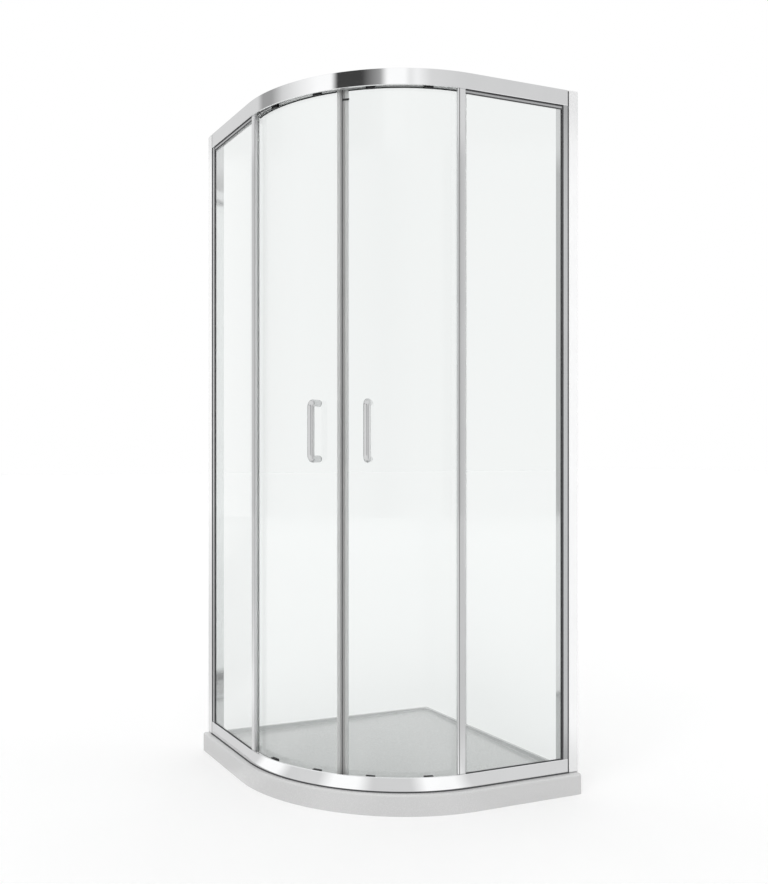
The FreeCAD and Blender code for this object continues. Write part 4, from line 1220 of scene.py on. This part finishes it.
# --- studio
@dataclass
class Studio:
    """The plain floor, the soft light, the cards that the bright metal reflects, and the camera.

    Each band lists bearings in degrees with their light levels.
    """

    world_level: float = 0.58
    floor_size: float = 80.0
    floor_colour: float = 0.80
    floor_lift: float = 0.21
    card_glow: float = 1.15
    card_radius: float = 12.0
    card_height: float = 8.0
    wall_blend: tuple[float, float] = (4.9, 5.35)
    ground_radius: float = 11.9
    ground_height: float = 0.6 * MM
    ground_blend: tuple[float, float] = (0.85, 1.3)
    lens: float = 41.764
    shift: tuple[float, float] = (0.1008, 0.0114)
    eye: tuple[float, float, float] = (-1.4159, -2.6069, 0.9175)
    heading: float = -23.79
    lamps: tuple[tuple[tuple[float, float, float], float, float], ...] = (
        ((-3.2, -3.4, 3.7), 50.0, 1.10),
        ((3.0, -3.2, 2.5), 70.0, 0.40),
        ((-3.4, 2.6, 2.7), 70.0, 0.35),
        ((2.6, 2.6, 3.5), 70.0, 0.35),
    )
    head_band: Table = (
        (0, 0.80), (95, 0.66), (129, 0.66), (136, 0.34), (147, 0.34), (158, 0.64), (182, 0.92), (190, 1.0),
        (200.5, 1.0), (205, 0.05), (223, 0.05), (236, 0.34), (241, 1.0), (253, 1.0), (257, 0.80),
        (262, 0.90), (272, 0.68), (299, 0.64), (315, 0.64), (360, 0.80),
    )
    upright_band: Table = (
        (0, 0.80), (60, 0.86), (95, 0.98), (112, 0.98), (114.5, 0.55), (122, 0.50), (125, 0.45), (133, 0.45),
        (138, 0.65), (170, 0.95), (210, 0.80), (240, 0.42), (262, 0.80), (281, 0.80), (285, 0.32),
        (291, 0.32), (294, 0.50), (299.5, 0.55), (302, 0.98), (318, 0.98), (360, 0.80),
    )
    sill_band: Table = (
        (0, 0.80), (95, 0.66), (166, 0.66), (172, 1.0), (184, 1.0), (191, 0.64), (208, 0.66), (215, 1.0),
        (227, 1.0), (234, 0.62), (252, 0.64), (259, 1.0), (273, 1.0), (281, 0.66), (315, 0.66), (360, 0.80),
    )
    floor_band: Table = (
        (0, 0.80), (95, 0.95), (110, 0.95), (114, 0.55), (124, 0.55), (132, 0.80), (200, 0.90), (262, 0.80),
        (270, 0.55), (297, 0.55), (303, 0.95), (318, 0.95), (360, 0.80),
    )

    def _levels(self, board: NodeBoard, away: Socket, band: Table) -> Socket:
        """Levels that follow the bearing.

        Args:
            board: The card's nodes.
            away: The way from the middle of the card.
            band: The bearings and their levels.

        Returns:
            The level as a colour.
        """
        turned = board.add("Mapping", {"Vector": away, "Rotation": (0.0, 0.0, math.pi)})
        radial = board.add("TexGradient", {"Vector": turned}, "Fac", gradient_type="RADIAL")
        colour = board.add("ValToRGB", {"Fac": radial})
        stops = colour.node.color_ramp.elements
        while len(stops) < len(band):
            stops.new(0.5)
        for stop, (bearing, level) in zip(stops, band):
            stop.position = bearing / 360.0
            stop.color = (level, level, level, 1.0)
        return colour

    def _card(self, name: str, centre: Vector, first: Table, second: Table, blend: tuple[float, float],
              upright: bool) -> None:
        """Make the new piece a glowing card that only the bright metal sees.

        Args:
            name: The card's name.
            centre: The point that bearings are taken from.
            first: The levels where the blend starts.
            second: The levels where it ends.
            blend: Where it starts and ends, as a height or as a distance from the centre.
            upright: Whether the blend goes by height.
        """
        card = bpy.context.object
        card.name = name
        bpy.ops.object.transform_apply()
        board = NodeBoard(bpy.data.materials.new(name))
        away = board.add("Mapping", {"Vector": board.add("TexCoord", {}, "Object"), "Location": -centre})
        if upright:
            measure = board.add("SeparateXYZ", {"Vector": away}, "Z")
        else:
            measure = board.add("VectorMath", {0: away}, "Value", operation="LENGTH")
        part = board.add("MapRange", {"Value": measure, "From Min": blend[0], "From Max": blend[1]},
                         interpolation_type="SMOOTHSTEP")
        mixed = board.add("Mix", {0: part, 6: self._levels(board, away, first),
                                  7: self._levels(board, away, second)}, 2, data_type="RGBA")
        glow = board.add("Emission", {"Color": mixed, "Strength": self.card_glow})
        board.show(glow)
        card.data.materials.append(board.owner)
        for ray in ("camera", "diffuse", "transmission", "volume_scatter", "shadow"):
            setattr(card, f"visible_{ray}", False)

    def cards(self) -> None:
        """The far wall and the floor that the bright metal reflects."""
        pick()
        bpy.ops.mesh.primitive_cylinder_add(vertices=160, radius=self.card_radius, depth=self.card_height,
                                            end_fill_type="NOTHING", location=UP * self.card_height / 2)
        self._card("wall_card", Vector(), self.upright_band, self.head_band, self.wall_blend, True)
        pick()
        bpy.ops.mesh.primitive_circle_add(vertices=160, radius=self.ground_radius, fill_type="NGON",
                                          location=LINE.axis + UP * self.ground_height)
        self._card("ground_card", LINE.axis, self.sill_band, self.floor_band, self.ground_blend, False)

    def floor(self) -> None:
        """The plain floor, which stays pale to the eye and keeps the shadow."""
        pick()
        bpy.ops.mesh.primitive_plane_add(size=self.floor_size)
        floor = bpy.context.object
        floor.name = "floor"
        board = NodeBoard(bpy.data.materials.new("floor"))
        patches = board.marks(Grain.EVEN, scale=0.6, detail=2.0)
        board.tint(patches, 3 * (self.floor_colour,), share=0.985)
        board.feed(board.shader, {"Roughness": 0.9, "Specular IOR Level": 0.1})
        seen = board.rays("Is Camera Ray", "Is Glossy Ray", "Is Transmission Ray")
        lift = board.add("Math", {0: seen, 1: self.floor_lift}, operation="MULTIPLY")
        glow = board.add("Emission", {"Strength": lift})
        both = board.add("AddShader", {0: board.shader.outputs[0], 1: glow})
        board.show(both)
        floor.data.materials.append(board.owner)

    def world(self) -> None:
        """The even sky light, white to the eye."""
        bpy.context.scene.world = bpy.data.worlds.new("studio")
        board = NodeBoard(bpy.context.scene.world, "Background")
        seen = board.rays("Is Camera Ray", "Is Glossy Ray", "Is Transmission Ray")
        level = board.add("MapRange", {"Value": seen, "To Min": self.world_level, "To Max": 1.0})
        board.feed(board.shader, {"Color": (1.0, 1.0, 1.0, 1.0), "Strength": level})

    @staticmethod
    def _hang(data: bpy.types.ID, spot: Sequence[float], turn: Sequence[float]) -> Piece:
        """Put a lamp or the camera at its spot in the scene, turned by three angles."""
        holder = bpy.data.objects.new(data.name, data)
        bpy.context.scene.collection.objects.link(holder)
        holder.location, holder.rotation_euler = spot, turn
        return holder

    def lights(self) -> None:
        """The soft distant lamps, each turned from its own way towards the enclosure."""
        for index, (way, spread, strength) in enumerate(self.lamps):
            lamp = bpy.data.lights.new(f"lamp_{index}", "SUN")
            lamp.angle = math.radians(spread)
            lamp.energy = strength
            holder = self._hang(lamp, way, (-Vector(way)).to_track_quat("-Z", "Y").to_euler())
            holder.visible_glossy = False
            holder.visible_transmission = False

    def camera(self) -> None:
        """The camera at the photograph's angle."""
        lens = bpy.data.cameras.new("camera")
        lens.lens = self.lens
        lens.shift_x, lens.shift_y = self.shift
        lens.clip_start, lens.clip_end = 0.05, 200.0
        turn = (math.radians(90.0), 0.0, math.radians(self.heading))
        bpy.context.scene.camera = self._hang(lens, self.eye, turn)

    def build(self) -> None:
        """Set the whole studio."""
        for step in (self.world, self.floor, self.cards, self.lights, self.camera):
            step()
        bpy.context.scene.view_settings.view_transform = "Standard"


def main() -> None:
    """Build the studio and every piece, and log each assembly and each placed piece's face count."""
    logging.basicConfig(level=logging.INFO, format="%(name)s: %(message)s")
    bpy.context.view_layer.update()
    Studio().build()
    for assembly in (ShowerTray(), top_rail(), bottom_rail(), RailStrips(), WallSide(), FixedPanel(),
                     CurvedDoor(), DoorHandle(), Roller(), KeptPieces()):
        LOG.info("building %s", getattr(assembly, "name", type(assembly).__name__))
        assembly.build()
    pick()
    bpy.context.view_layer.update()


if __name__ == "__main__":
    main()
